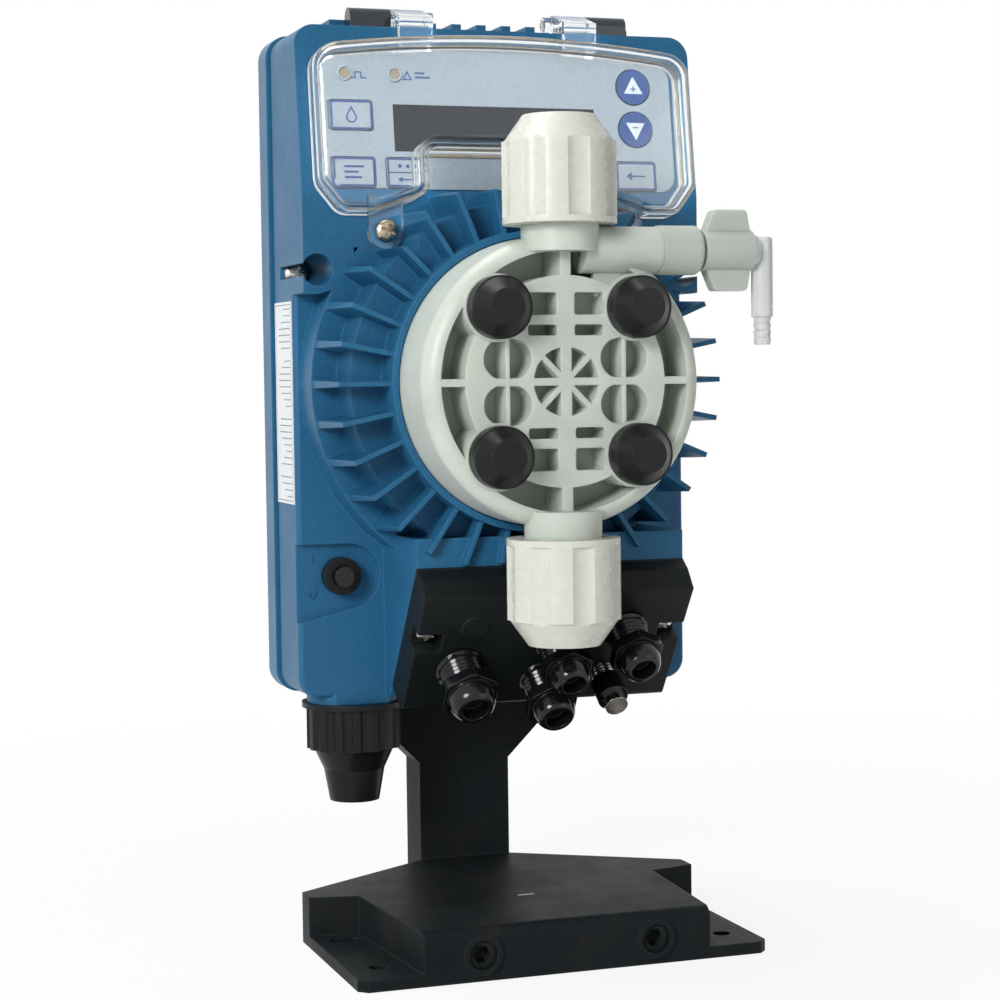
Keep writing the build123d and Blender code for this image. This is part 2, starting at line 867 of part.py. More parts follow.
    # Recess for the head, with the rod bore behind it
    with BuildSketch(head_plane.offset(adapter_back)):
        Circle(head_r + head_fit)
    extrude(amount=ring_front - adapter_back, mode=Mode.SUBTRACT)
    with BuildSketch(head_plane.offset(drum_bore_depth)):
        Circle(rod_guide_r)
    extrude(amount=adapter_back - drum_bore_depth, mode=Mode.SUBTRACT)
    with BuildSketch(head_plane.offset(drive_room_back)):
        Circle(drive_room_r)
    extrude(amount=adapter_back - drive_room_back, mode=Mode.SUBTRACT)
    with BuildSketch(head_plane.offset(bolt_tip_depth - case_wall)):
        with Locations(*bolt_points):
            Circle(bolt_r)
    extrude(amount=adapter_back - bolt_tip_depth + case_wall, mode=Mode.SUBTRACT)
    # Pillars for the case screws
    with BuildSketch(back_plane.offset(gasket_front)):
        with Locations(*corner_points):
            Circle(pillar_r)
    extrude(amount=shelf_depth - case_wall - gasket_front)
    with BuildSketch(back_plane.offset(gasket_front)):
        with Locations(*corner_points):
            Circle(screw_r)
    extrude(amount=shelf_depth - 2 * case_wall - gasket_front, mode=Mode.SUBTRACT)
    # Open pockets for the two side screws
    with BuildSketch(back_plane.offset(gasket_front)):
        with Locations(*side_points):
            Circle(side_pocket_r + case_wall)
        with BuildSketch(mode=Mode.PRIVATE) as pocket_limit:
            with Locations((0, case_mid_z)):
                Rectangle(case_width - 2 * band_inset, case_height - 2 * band_inset)
        add(pocket_limit.sketch, mode=Mode.INTERSECT)
    extrude(amount=shelf_depth - case_wall - gasket_front)
    with BuildSketch(back_plane.offset(side_pocket_back)):
        with Locations(*side_points):
            Circle(side_pocket_r)
    extrude(amount=ring_front, mode=Mode.SUBTRACT)
    with BuildSketch(back_plane.offset(gasket_front)):
        with Locations(*side_points):
            Circle(screw_r)
    extrude(amount=side_pocket_back - gasket_front, mode=Mode.SUBTRACT)
    # Switch pocket, open to the side
    with BuildSketch(back_plane.offset(shelf_depth - switch_pocket_depth)):
        with Locations((switch_x + switch_shift, switch_z)):
            Circle(switch_pocket_r)
        with BuildLine():
            Polyline(
                (-case_width / 2, switch_z + switch_pocket_r),
                (switch_x + switch_shift, switch_z + switch_pocket_r),
                (
                    switch_x + switch_shift + switch_pocket_r * sin(radians(switch_slope)),
                    switch_z - switch_pocket_r * cos(radians(switch_slope)),
                ),
                (-case_width / 2, switch_pocket_foot),
                close=True,
            )
        make_face()
    extrude(amount=switch_pocket_depth + shelf_round, mode=Mode.SUBTRACT)
    with BuildSketch(back_plane.offset(switch_body_back)):
        with Locations((switch_x, switch_z)):
            Circle(switch_body_r)
    extrude(amount=shelf_depth, mode=Mode.SUBTRACT)
    # Key pockets, display opening and lamp holes in the sloped panel
    with BuildSketch(panel_plane.offset(-key_pocket)):
        with Locations(*key_points):
            RectangleRounded(key_width + 2 * key_gap, key_height + 2 * key_gap, key_round + key_gap)
        with Locations(*arrow_points):
            Circle(arrow_key_r + key_gap)
    extrude(amount=2 * key_pocket, mode=Mode.SUBTRACT)
    with BuildSketch(panel_plane.offset(-panel_shell - key_pocket)):
        with Locations((display_x, display_y)):
            Rectangle(display_width, display_height)
        with Locations(*lamp_points):
            Circle(lamp_r + lamp_gap)
    extrude(amount=2 * panel_shell + key_pocket, mode=Mode.SUBTRACT)
    # Latch screw holes
    with BuildSketch(back_plane.offset(drum_steps[0][1] - 2 * latch_shank)):
        with Locations((-latch_x, latch_z), (latch_x, latch_z)):
            Circle(latch_hole_r)
    extrude(amount=3 * latch_shank, mode=Mode.SUBTRACT)
    # Ribs on the roof
    with BuildSketch(Plane.XY.offset(housing_top_z - shelf_round)):
        with Locations((0, rear_y - (rib_back + gasket_front + band_depth + rib_front) / 2)):
            with GridLocations(rib_pitch, 0, rib_count, 1):
                Rectangle(rib_width, rib_front - rib_back - gasket_front - band_depth)
        with Locations((0, rear_y - (rib_back + gasket_front + band_depth + rib_front) / 2)):
            with GridLocations(2 * side_bar_x, 0, 2, 1):
                Rectangle(side_bar_width, rib_front - rib_back - gasket_front - band_depth)
    extrude(amount=rib_height + shelf_round)
    # Neck for the power cable inlet and the opening for the wires
    with BuildSketch(Plane.XY.offset(case_bottom_z + housing_inset + case_wall)):
        with Locations((inlet_x, rear_y - inlet_centre)):
            Circle(inlet_neck_r)
        with BuildSketch(mode=Mode.PRIVATE) as neck_limit:
            with Locations((inlet_x, rear_y - (gasket_front + band_depth + shelf_depth) / 2)):
                Rectangle(2 * inlet_neck_r, shelf_depth - gasket_front - band_depth)
        add(neck_limit.sketch, mode=Mode.INTERSECT)
    extrude(amount=-(housing_inset + case_wall + inlet_neck))
    with BuildSketch(Plane.XY.offset(case_bottom_z - inlet_neck)):
        with Locations((inlet_x, rear_y - inlet_centre)):
            Circle(inlet_thread_r + inlet_clear)
    extrude(amount=inlet_neck + housing_inset + 2 * case_wall, mode=Mode.SUBTRACT)
    with BuildSketch(slant_plane):
        with Locations((chest_mid_x, -chest_foot / 2)):
            Rectangle(chest_width / 2, chest_foot / 3)
    extrude(amount=-2 * chest_shell, mode=Mode.SUBTRACT)
    with BuildSketch(slant_plane):
        with Locations(*lid_screw_points):
            Circle(lid_screw_r)
    extrude(amount=-2 * chest_shell, mode=Mode.SUBTRACT)
front_housing.part.label = "front_housing"
export_step(front_housing.part, "parts/front_housing.step")

# Hinge blocks and pins on the roof
hinge_y = rear_y - hinge_depth
block_start = knuckle_outer + knuckle_gap
with BuildPart() as hinge_blocks:
    for side in (-1, 1):
        with BuildSketch(Plane.YZ.offset(side * block_start)):
            with Locations((hinge_y, hinge_z)):
                Circle(hinge_r)
            with Locations((hinge_y, (hinge_z + housing_top_z) / 2)):
                Rectangle(2 * hinge_r, hinge_z - housing_top_z)
            with Locations((hinge_y, hinge_z)):
                Circle(hinge_pin_r, mode=Mode.SUBTRACT)
        extrude(amount=side * barrel_length)
hinge_blocks.part.label = "hinge_blocks"
export_step(hinge_blocks.part, "parts/hinge_blocks.step")

with BuildPart() as hinge_pins:
    for side in (-1, 1):
        with BuildSketch(Plane.YZ.offset(side * (block_start + barrel_length))):
            with Locations((hinge_y, hinge_z)):
                Circle(hinge_pin_r)
        extrude(amount=side * (knuckle_inner - knuckle_gap - block_start - barrel_length))
        with BuildSketch(Plane.YZ.offset(side * (knuckle_inner - knuckle_gap))):
            with Locations((hinge_y, hinge_z)):
                Circle(pin_head_r)
        extrude(amount=-side * pin_head_length)
hinge_pins.part.label = "hinge_pins"
export_step(hinge_pins.part, "parts/hinge_pins.step")

# Clear cover, a shallow tray that hangs over the panel
cover_arm_width = knuckle_outer - knuckle_inner
with BuildSketch() as cover_outline:
    with BuildLine():
        ThreePointArc(
            (-cover_half_width, cover_side_top),
            (0, cover_top),
            (cover_half_width, cover_side_top),
        )
        Polyline(
            (cover_half_width, cover_side_top),
            (cover_half_width, cover_side_low),
            (cover_lobe_outer, cover_bottom),
            (cover_lobe_inner, cover_bottom),
            (cover_notch_half, cover_notch_bottom),
            (cover_notch_half, cover_notch_top),
            (-cover_notch_half, cover_notch_top),
            (-cover_notch_half, cover_notch_bottom),
            (-cover_lobe_inner, cover_bottom),
            (-cover_lobe_outer, cover_bottom),
            (-cover_half_width, cover_side_low),
            (-cover_half_width, cover_side_top),
        )
    make_face()
    fillet(cover_outline.vertices().sort_by(Axis.Y)[-2:], cover_corner)
    lobe_corners = cover_outline.vertices().filter_by_position(
        Axis.Y,
        cover_bottom - 1,
        cover_side_low + 1,
    )
    fillet(lobe_corners, cover_round)
    notch_corners = cover_outline.vertices().filter_by_position(
        Axis.Y,
        cover_notch_top - 0.1,
        cover_notch_top + 0.1,
    )
    fillet(notch_corners, notch_round)

with BuildPart() as cover_hollow:
    with BuildSketch(panel_plane.offset(cover_base_gap)):
        add(cover_outline.sketch)
        offset(amount=-cover_wall, kind=Kind.INTERSECTION)
    extrude(amount=cover_height - cover_wall)
    fillet(cover_hollow.faces().sort_by(Axis.Y)[0].edges(), cover_front_round - cover_wall)

with BuildPart() as clear_cover:
    with BuildSketch(panel_plane.offset(cover_base_gap)):
        add(cover_outline.sketch)
    extrude(amount=cover_height)
    fillet(clear_cover.faces().sort_by(Axis.Y)[0].edges(), cover_front_round)
    add(cover_hollow.part, mode=Mode.SUBTRACT)
    # Arms and knuckles
    for side in (-1, 1):
        with BuildSketch(Plane.YZ.offset(side * knuckle_inner)):
            with Locations((hinge_y, hinge_z)):
                Circle(hinge_r)
            with BuildLine():
                Polyline(
                    (hinge_y, hinge_z + hinge_r),
                    (hinge_y, hinge_z - hinge_r),
                    (rear_y - panel_top_depth - cover_base_gap, hinge_z - hinge_r),
                    (rear_y - panel_top_depth - cover_base_gap, panel_top_z + cover_top - cover_wall),
                    (
                        rear_y - panel_top_depth - cover_base_gap - arm_thick,
                        panel_top_z + cover_top - cover_wall,
                    ),
                    (
                        rear_y - panel_top_depth - cover_base_gap - arm_thick,
                        hinge_z - hinge_r + arm_thick,
                    ),
                    close=True,
                )
            make_face()
        extrude(amount=side * cover_arm_width)
        with BuildSketch(Plane.YZ.offset(side * knuckle_inner)):
            with Locations((hinge_y, hinge_z)):
                Circle(hinge_pin_r + hinge_fit)
        extrude(amount=side * cover_arm_width, mode=Mode.SUBTRACT)
    # Latch tabs
    with BuildSketch(back_plane.offset(drum_steps[0][1] + latch_lift)):
        with Locations((-latch_x, latch_z), (latch_x, latch_z)):
            Circle(latch_r)
        with Locations((-latch_x, latch_z + latch_r), (latch_x, latch_z + latch_r)):
            Rectangle(2 * latch_r, 2 * latch_r)
    extrude(amount=latch_tab)
    with BuildSketch(back_plane.offset(drum_steps[0][1])):
        with Locations((-latch_x, latch_z), (latch_x, latch_z)):
            Circle(latch_shank_r)
    extrude(amount=2 * latch_tab, mode=Mode.SUBTRACT)
clear_cover.part.label = "clear_cover"
export_step(clear_cover.part, "parts/clear_cover.step")

with BuildPart() as cover_screws:
    with BuildSketch(back_plane.offset(drum_steps[0][1] + latch_lift + latch_tab)):
        with Locations((-latch_x, latch_z), (latch_x, latch_z)):
            Circle(latch_head_r)
    extrude(amount=latch_head_height)
    with BuildSketch(back_plane.offset(drum_steps[0][1] + latch_lift + latch_tab)):
        with Locations((-latch_x, latch_z), (latch_x, latch_z)):
            Circle(latch_shank_r)
    extrude(amount=-latch_shank)
cover_screws.part.label = "cover_screws"
export_step(cover_screws.part, "parts/cover_screws.step")

# Keypad overlay, display, keys and lamps on the sloped panel
with BuildPart() as keypad_overlay:
    with BuildSketch(panel_plane) as overlay_outline:
        with BuildLine():
            ThreePointArc(
                (-overlay_half_width, overlay_top - overlay_arch),
                (0, overlay_top),
                (overlay_half_width, overlay_top - overlay_arch),
            )
            Polyline(
                (overlay_half_width, overlay_top - overlay_arch),
                (overlay_half_width, overlay_bottom),
                (-overlay_half_width, overlay_bottom),
                (-overlay_half_width, overlay_top - overlay_arch),
            )
        make_face()
        fillet(overlay_outline.vertices(), overlay_corner)
        with Locations(*key_points):
            RectangleRounded(
                key_width + 2 * key_gap,
                key_height + 2 * key_gap,
                key_round + key_gap,
                mode=Mode.SUBTRACT,
            )
        with Locations(*arrow_points):
            Circle(arrow_key_r + key_gap, mode=Mode.SUBTRACT)
        with Locations((display_x, display_y)):
            Rectangle(display_width, display_height, mode=Mode.SUBTRACT)
        with Locations(*lamp_points):
            Circle(lamp_r + lamp_gap, mode=Mode.SUBTRACT)
    extrude(amount=overlay_thick)
keypad_overlay.part.label = "keypad_overlay"
export_step(keypad_overlay.part, "parts/keypad_overlay.step")

with BuildPart() as display_window:
    with BuildSketch(panel_plane.offset(overlay_thick - display_thick)):
        with Locations((display_x, display_y)):
            Rectangle(display_width, display_height)
    extrude(amount=display_thick)
display_window.part.label = "display_window"
export_step(display_window.part, "parts/display_window.step")

key_back = overlay_thick + key_proud - key_thick
with BuildPart() as key_upper_left:
    with BuildSketch(panel_plane.offset(key_back)):
        with Locations(key_points[0]):
            RectangleRounded(key_width, key_height, key_round)
    extrude(amount=key_thick)
key_upper_left.part.label = "key_upper_left"
export_step(key_upper_left.part, "parts/key_upper_left.step")

with BuildPart() as key_lower_left:
    with BuildSketch(panel_plane.offset(key_back)):
        with Locations(key_points[1]):
            RectangleRounded(key_width, key_height, key_round)
    extrude(amount=key_thick)
key_lower_left.part.label = "key_lower_left"
export_step(key_lower_left.part, "parts/key_lower_left.step")

with BuildPart() as key_lower_middle:
    with BuildSketch(panel_plane.offset(key_back)):
        with Locations(key_points[2]):
            RectangleRounded(key_width, key_height, key_round)
    extrude(amount=key_thick)
key_lower_middle.part.label = "key_lower_middle"
export_step(key_lower_middle.part, "parts/key_lower_middle.step")

with BuildPart() as key_lower_right:
    with BuildSketch(panel_plane.offset(key_back)):
        with Locations(key_points[3]):
            RectangleRounded(key_width, key_height, key_round)
    extrude(amount=key_thick)
key_lower_right.part.label = "key_lower_right"
export_step(key_lower_right.part, "parts/key_lower_right.step")

with BuildPart() as key_up:
    with BuildSketch(panel_plane.offset(key_back)):
        with Locations(arrow_points[0]):
            Circle(arrow_key_r)
    extrude(amount=key_thick)
key_up.part.label = "key_up"
export_step(key_up.part, "parts/key_up.step")

with BuildPart() as key_down:
    with BuildSketch(panel_plane.offset(key_back)):
        with Locations(arrow_points[1]):
            Circle(arrow_key_r)
    extrude(amount=key_thick)
key_down.part.label = "key_down"
export_step(key_down.part, "parts/key_down.step")

with BuildPart() as lamp_lenses:
    with BuildSketch(panel_plane.offset(overlay_thick + key_proud - lamp_height)):
        with Locations(*lamp_points):
            Circle(lamp_r)
    extrude(amount=lamp_height)
lamp_lenses.part.label = "lamp_lenses"
export_step(lamp_lenses.part, "parts/lamp_lenses.step")

with BuildPart() as circuit_boards:
    with BuildSketch(panel_plane.offset(-panel_shell - key_pocket - key_gap)):
        with Locations((0, (overlay_bottom + overlay_top) / 2)):
            Rectangle(board_width, overlay_top - overlay_bottom - case_wall)
    extrude(amount=-board_thick)
    with BuildSketch(back_plane.offset(board_depth)):
        with Locations((0, case_mid_z)):
            Rectangle(board_width, board_height)
        with Locations(*bracket_points):
            Circle(screw_r + screw_fit, mode=Mode.SUBTRACT)
    extrude(amount=board_thick)
circuit_boards.part.label = "circuit_boards"
export_step(circuit_boards.part, "parts/circuit_boards.step")

with BuildPart() as side_label:
    with BuildSketch(Plane.YZ.offset(-housing_width / 2)):
        with Locations((
            rear_y - (gasket_front + band_depth + shelf_depth - shelf_round) / 2,
            label_mid_z,
        )):
            Rectangle(label_width, label_length)
    extrude(amount=-label_thick)
side_label.part.label = "side_label"
export_step(side_label.part, "parts/side_label.step")

# Head: flanged drum of clear plastic with a ribbed front
with BuildPart() as adapter_plate:
    with BuildSketch(head_plane.offset(adapter_back)):
        Circle(head_r)
        Circle(adapter_bore_r, mode=Mode.SUBTRACT)
        with Locations(*bolt_points):
            Circle(bolt_hole_r, mode=Mode.SUBTRACT)
    extrude(amount=adapter_thick)
    with BuildSketch(head_plane.offset(head_back)):
        Circle(bead_r)
    extrude(amount=-bead_thick, mode=Mode.SUBTRACT)
    with BuildSketch(head_plane.offset(head_back)):
        Circle(seal_ring_r + seal_ring_wire_r)
        Circle(seal_ring_r - seal_ring_wire_r, mode=Mode.SUBTRACT)
    extrude(amount=-seal_ring_wire_r, mode=Mode.SUBTRACT)
adapter_plate.part.label = "adapter_plate"
export_step(adapter_plate.part, "parts/adapter_plate.step")

with BuildPart() as head_seal:
    with BuildSketch(head_plane.offset(head_back)):
        Circle(seal_ring_r + seal_ring_wire_r)
        Circle(seal_ring_r - seal_ring_wire_r, mode=Mode.SUBTRACT)
    extrude(amount=-seal_ring_wire_r)
head_seal.part.label = "head_seal"
export_step(head_seal.part, "parts/head_seal.step")

with BuildPart() as diaphragm_ring:
    with BuildSketch(head_plane.offset(head_back)):
        Circle(bead_r)
        Circle(bead_bore_r, mode=Mode.SUBTRACT)
        with Locations(*bolt_points):
            Circle(bolt_hole_r, mode=Mode.SUBTRACT)
    extrude(amount=-bead_thick)
diaphragm_ring.part.label = "diaphragm_ring"
export_step(diaphragm_ring.part, "parts/diaphragm_ring.step")

with BuildPart() as diaphragm_disc:
    with BuildSketch(head_plane.offset(disc_back)):
        Circle(disc_r)
    extrude(amount=disc_front - disc_back)
diaphragm_disc.part.label = "diaphragm_disc"
export_step(diaphragm_disc.part, "parts/diaphragm_disc.step")

stack_plane = Plane(origin=(0, stack_y, axis_z))
with BuildPart() as pump_head:
    with BuildSketch(head_plane.offset(head_back)):
        Circle(head_r)
    extrude(amount=head_front - head_back)
    fillet(pump_head.faces().sort_by(Axis.Y)[0].edges(), head_round)
    # Trough between the rim and the inner disc
    with BuildSketch(head_plane.offset(head_front)):
        Circle(trough_outer_r)
        Circle(trough_inner_r, mode=Mode.SUBTRACT)
    extrude(amount=-trough_depth, mode=Mode.SUBTRACT)
    # Pockets of the inner disc
    with BuildSketch(head_plane.offset(head_front)):
        with GridLocations(2 * oval_x, 2 * oval_z, 2, 2):
            SlotOverall(oval_length, oval_height)
        with GridLocations(2 * slot_x, 2 * slot_z, 2, 2):
            RectangleRounded(slot_width, slot_height, head_bar / 4)
        with GridLocations(2 * slot_x, 2 * thin_slot_z, 2, 2):
            RectangleRounded(slot_width, thin_slot_height, head_bar / 4)
    extrude(amount=-pocket_depth, mode=Mode.SUBTRACT)
    with BuildSketch(head_plane.offset(head_front)):
        Circle(star_outer_r)
        Circle(star_inner_r, mode=Mode.SUBTRACT)
    extrude(amount=-star_depth, mode=Mode.SUBTRACT)
    # Bars, spokes and bolt bosses
    with BuildSketch(head_plane.offset(head_front - trough_depth)):
        Rectangle(head_bar, 2 * trough_outer_r)
        Rectangle(2 * trough_outer_r, head_bar * 2 / 3)
        with GridLocations(2 * oval_x, 0, 2, 1):
            Rectangle(oval_rib, 2 * (oval_z + oval_height / 2))
        with Locations((0, 0)):
            Rectangle(star_spoke, 2 * star_outer_r, rotation=45)
            Rectangle(star_spoke, 2 * star_outer_r, rotation=-45)
        with BuildSketch(mode=Mode.PRIVATE) as bar_limit:
            Circle(trough_outer_r + head_bar / 2)
        add(bar_limit.sketch, mode=Mode.INTERSECT)
    extrude(amount=trough_depth)
    with BuildSketch(head_plane.offset(head_back)):
        with Locations(*bolt_points):
            Circle(bolt_boss_r)
    extrude(amount=bolt_boss_front - head_back)
    # Necks for the valves and the branch for the bleed valve
    for way in (-1, 1):
        with BuildSketch(stack_plane.offset(way * neck_start)):
            Circle(neck_r)
        extrude(amount=way * (neck_end - neck_start))
    with BuildSketch(Plane(origin=(neck_r / 2, stack_y, branch_z), x_dir=(0, 1, 0), z_dir=(1, 0, 0))):
        Circle(branch_r)
    extrude(amount=branch_end - neck_r / 2)
    # Bores and channels
    with BuildSketch(head_plane.offset(head_back)):
        Circle(chamber_r)
    extrude(amount=chamber_depth, mode=Mode.SUBTRACT)
    with BuildSketch(Plane(origin=(0, rear_y - channel_depth, axis_z))):
        Circle(channel_r)
    extrude(amount=channel_link, both=True, mode=Mode.SUBTRACT)
    with BuildSketch(head_plane.offset(channel_depth)):
        with GridLocations(0, 2 * channel_link, 1, 2):
            Circle(channel_r)
    extrude(amount=stack_depth - channel_depth, mode=Mode.SUBTRACT)
    with BuildSketch(stack_plane.offset(channel_link)):
        Circle(seat_bore_r)
    extrude(amount=neck_end - channel_link, mode=Mode.SUBTRACT)
    with BuildSketch(stack_plane.offset(upper_seat_start)):
        Circle(seat_r + seat_fit)
    extrude(amount=neck_end - upper_seat_start, mode=Mode.SUBTRACT)
    with BuildSketch(stack_plane.offset(-neck_end)):
        Circle(seat_r + seat_fit)
    extrude(amount=seat_thick, mode=Mode.SUBTRACT)
    with BuildSketch(stack_plane.offset(-neck_end)):
        Circle(cage_r)
    extrude(amount=seat_thick + 2 * ball_r + ball_seat_r, mode=Mode.SUBTRACT)
    with BuildSketch(stack_plane.offset(-neck_end)):
        Circle(seat_bore_r)
    extrude(amount=neck_end - channel_link, mode=Mode.SUBTRACT)
    with BuildSketch(Plane(origin=(0, stack_y, branch_z), x_dir=(0, 1, 0), z_dir=(1, 0, 0))):
        Circle(channel_r)
    extrude(amount=branch_end, mode=Mode.SUBTRACT)
    with BuildSketch(Plane(
        origin=(branch_bore_start, stack_y, branch_z),
        x_dir=(0, 1, 0),
        z_dir=(1, 0, 0),
    )):
        Circle(branch_bore_r)
    extrude(amount=branch_end - branch_bore_start, mode=Mode.SUBTRACT)
    with BuildSketch(head_plane.offset(head_back)):
        with Locations(*bolt_points):
            Circle(bolt_hole_r)
    extrude(amount=bolt_boss_front - head_back, mode=Mode.SUBTRACT)
    with BuildSketch(head_plane.offset(bolt_boss_front)):
        with Locations(*bolt_points):
            Circle(bolt_counterbore_r)
    extrude(amount=-bolt_counterbore, mode=Mode.SUBTRACT)
pump_head.part.label = "pump_head"
export_step(pump_head.part, "parts/pump_head.step")

bolt_seat = bolt_boss_front - bolt_counterbore
with BuildPart() as head_bolts:
    with BuildSketch(head_plane.offset(bolt_seat)):
        with Locations(*bolt_points):
            Circle(bolt_head_r)
    extrude(amount=bolt_head_height)
    with BuildSketch(head_plane.offset(bolt_seat + bolt_head_height)):
        with Locations(*bolt_points):
            RegularPolygon(bolt_head_r / 2, 6)
    extrude(amount=-bolt_head_height / 2, mode=Mode.SUBTRACT)
    with BuildSketch(head_plane.offset(bolt_seat)):
        with Locations(*bolt_points):
            Circle(bolt_r)
    extrude(amount=bolt_tip_depth - bolt_seat)
head_bolts.part.label = "head_bolts"
export_step(head_bolts.part, "parts/head_bolts.step")

with BuildPart() as bolt_caps:
    with BuildSketch(head_plane.offset(bolt_boss_front)):
        with Locations(*bolt_points):
            Circle(cap_r)
    extrude(amount=cap_rim)
    with BuildSketch(head_plane.offset(bolt_boss_front + cap_rim)):
        with Locations(*bolt_points):
            Circle(cap_r - cap_step)
    extrude(amount=cap_taper, taper=slope(cap_r - cap_step, cap_face_r, cap_taper))
    with BuildSketch(head_plane.offset(bolt_boss_front)):
        with Locations(*bolt_points):
            Circle(cap_plug_r)
    extrude(amount=-cap_plug)
bolt_caps.part.label = "bolt_caps"
export_step(bolt_caps.part, "parts/bolt_caps.step")

# Valves above and below: seat, ball, washer, cartridge, clamp ring and union nut
middle_plane = Plane.XY.offset(axis_z)
seat_cone = ball_seat_r - seat_bore_r
with BuildPart() as valve_seats:
    with BuildSketch(stack_plane.offset(upper_seat_start), stack_plane.offset(-neck_end)):
        Circle(seat_r)
        Circle(seat_bore_r, mode=Mode.SUBTRACT)
    extrude(amount=seat_thick)
    seat_rings = valve_seats.edges().filter_by(GeomType.CIRCLE).group_by(Axis.Z)
    chamfer([seat_rings[1].sort_by(SortBy.RADIUS)[0], seat_rings[3].sort_by(SortBy.RADIUS)[0]], seat_cone)
valve_seats.part.label = "valve_seats"
export_step(valve_seats.part, "parts/valve_seats.step")

ball_rise = ball_gap + (ball_r ** 2 - seat_bore_r ** 2) ** 0.5 - seat_cone
upper_ball_z = axis_z + upper_seat_start + seat_thick + ball_rise
with BuildPart() as upper_ball:
    with Locations((0, stack_y, upper_ball_z)):
        Sphere(ball_r)
upper_ball.part.label = "upper_ball"
export_step(upper_ball.part, "parts/upper_ball.step")

with BuildPart() as valve_washers:
    with BuildSketch(stack_plane.offset(neck_end)):
        Circle(washer_outer_r)
        Circle(washer_inner_r, mode=Mode.SUBTRACT)
    extrude(amount=washer_thick)
    mirror(about=middle_plane)
valve_washers.part.label = "valve_washers"
export_step(valve_washers.part, "parts/valve_washers.step")

cartridge_start = neck_end + washer_thick
nipple_start = cartridge_start + cartridge_flange + cartridge_stem
with BuildPart() as valve_cartridges:
    with BuildSketch(stack_plane.offset(cartridge_start)):
        Circle(cartridge_flange_r)
    extrude(amount=cartridge_flange)
    with BuildSketch(stack_plane.offset(cartridge_start + cartridge_flange)):
        Circle(cartridge_stem_r)
    extrude(amount=cartridge_stem)
    with BuildSketch(stack_plane.offset(nipple_start)):
        Circle(nipple_r)
    extrude(amount=nipple_length, taper=slope(nipple_r, nipple_tip_r, nipple_length))
    with BuildSketch(stack_plane.offset(cartridge_start)):
        Circle(cage_r)
    extrude(amount=ball_r + ball_seat_r, mode=Mode.SUBTRACT)
    with BuildSketch(stack_plane.offset(cartridge_start)):
        Circle(nozzle_bore_r)
    extrude(amount=nipple_start + nipple_length - cartridge_start, mode=Mode.SUBTRACT)
    mirror(about=middle_plane)
valve_cartridges.part.label = "valve_cartridges"
export_step(valve_cartridges.part, "parts/valve_cartridges.step")

with BuildPart() as upper_clamp:
    with BuildSketch(stack_plane.offset(union_ceiling - clamp_height)):
        Circle(clamp_r)
        Circle(clamp_bore_r, mode=Mode.SUBTRACT)
    extrude(amount=clamp_height)
upper_clamp.part.label = "upper_clamp"
export_step(upper_clamp.part, "parts/upper_clamp.step")

with BuildPart() as upper_union_nut:
    with BuildSketch(stack_plane.offset(union_start)):
        Circle(union_r)
    extrude(amount=union_shoulder - union_start)
    with BuildSketch(stack_plane.offset(union_shoulder)):
        Circle(union_r - union_step)
    extrude(
        amount=union_end - union_shoulder,
        taper=slope(union_r - union_step, union_end_r, union_end - union_shoulder),
    )
    with BuildSketch(stack_plane.offset(union_start + union_skirt)):
        with PolarLocations(union_r + flute_r - flute_bite, union_flutes):
            Circle(flute_r)
    extrude(amount=union_shoulder - union_start, mode=Mode.SUBTRACT)
    with BuildSketch(stack_plane.offset(union_start)):
        Circle(neck_r + union_fit)
    extrude(amount=cartridge_start + cartridge_flange + union_play - union_start, mode=Mode.SUBTRACT)
    with BuildSketch(stack_plane.offset(union_start)):
        Circle(union_bore_r)
    extrude(amount=union_ceiling - union_start, mode=Mode.SUBTRACT)
    with BuildSketch(stack_plane.offset(union_start)):
        Circle(union_hole_r)
    extrude(amount=union_end - union_start, mode=Mode.SUBTRACT)
upper_union_nut.part.label = "upper_union_nut"
export_step(upper_union_nut.part, "parts/upper_union_nut.step")

lower_ball_z = axis_z - neck_end + seat_thick + ball_rise
with BuildPart() as lower_ball:
    with Locations((0, stack_y, lower_ball_z)):
        Sphere(ball_r)
lower_ball.part.label = "lower_ball"
export_step(lower_ball.part, "parts/lower_ball.step")

with BuildPart() as lower_clamp:
    mirror(upper_clamp.part, about=middle_plane)
lower_clamp.part.label = "lower_clamp"
export_step(lower_clamp.part, "parts/lower_clamp.step")

with BuildPart() as lower_union_nut:
    mirror(upper_union_nut.part, about=middle_plane)
lower_union_nut.part.label = "lower_union_nut"
export_step(lower_union_nut.part, "parts/lower_union_nut.step")

# Bleed valve
bleed_plane = Plane(origin=(0, stack_y, branch_z), x_dir=(0, 1, 0), z_dir=(1, 0, 0))
with BuildPart() as bleed_bonnet:
    with BuildSketch(bleed_plane.offset(branch_end)):
        Circle(bonnet_r)
    extrude(amount=bonnet_end - branch_end)
    fillet(bleed_bonnet.faces().sort_by(Axis.X)[-1].edges(), bonnet_round)
    with BuildSketch(bleed_plane.offset(needle_seat)):
        Circle(bonnet_spigot_r)
    extrude(amount=branch_end - needle_seat)
    with BuildSketch(bleed_plane.offset(needle_seat)):
        Circle(needle_r + needle_fit)
    extrude(amount=bonnet_end - needle_seat, mode=Mode.SUBTRACT)
bleed_bonnet.part.label = "bleed_bonnet"
export_step(bleed_bonnet.part, "parts/bleed_bonnet.step")

with BuildPart() as bleed_ring:
    with BuildSketch(bleed_plane.offset(needle_groove_x)):
        Circle(needle_r)
        Circle(needle_groove_r, mode=Mode.SUBTRACT)
    extrude(amount=needle_groove_width)
bleed_ring.part.label = "bleed_ring"
export_step(bleed_ring.part, "parts/bleed_ring.step")

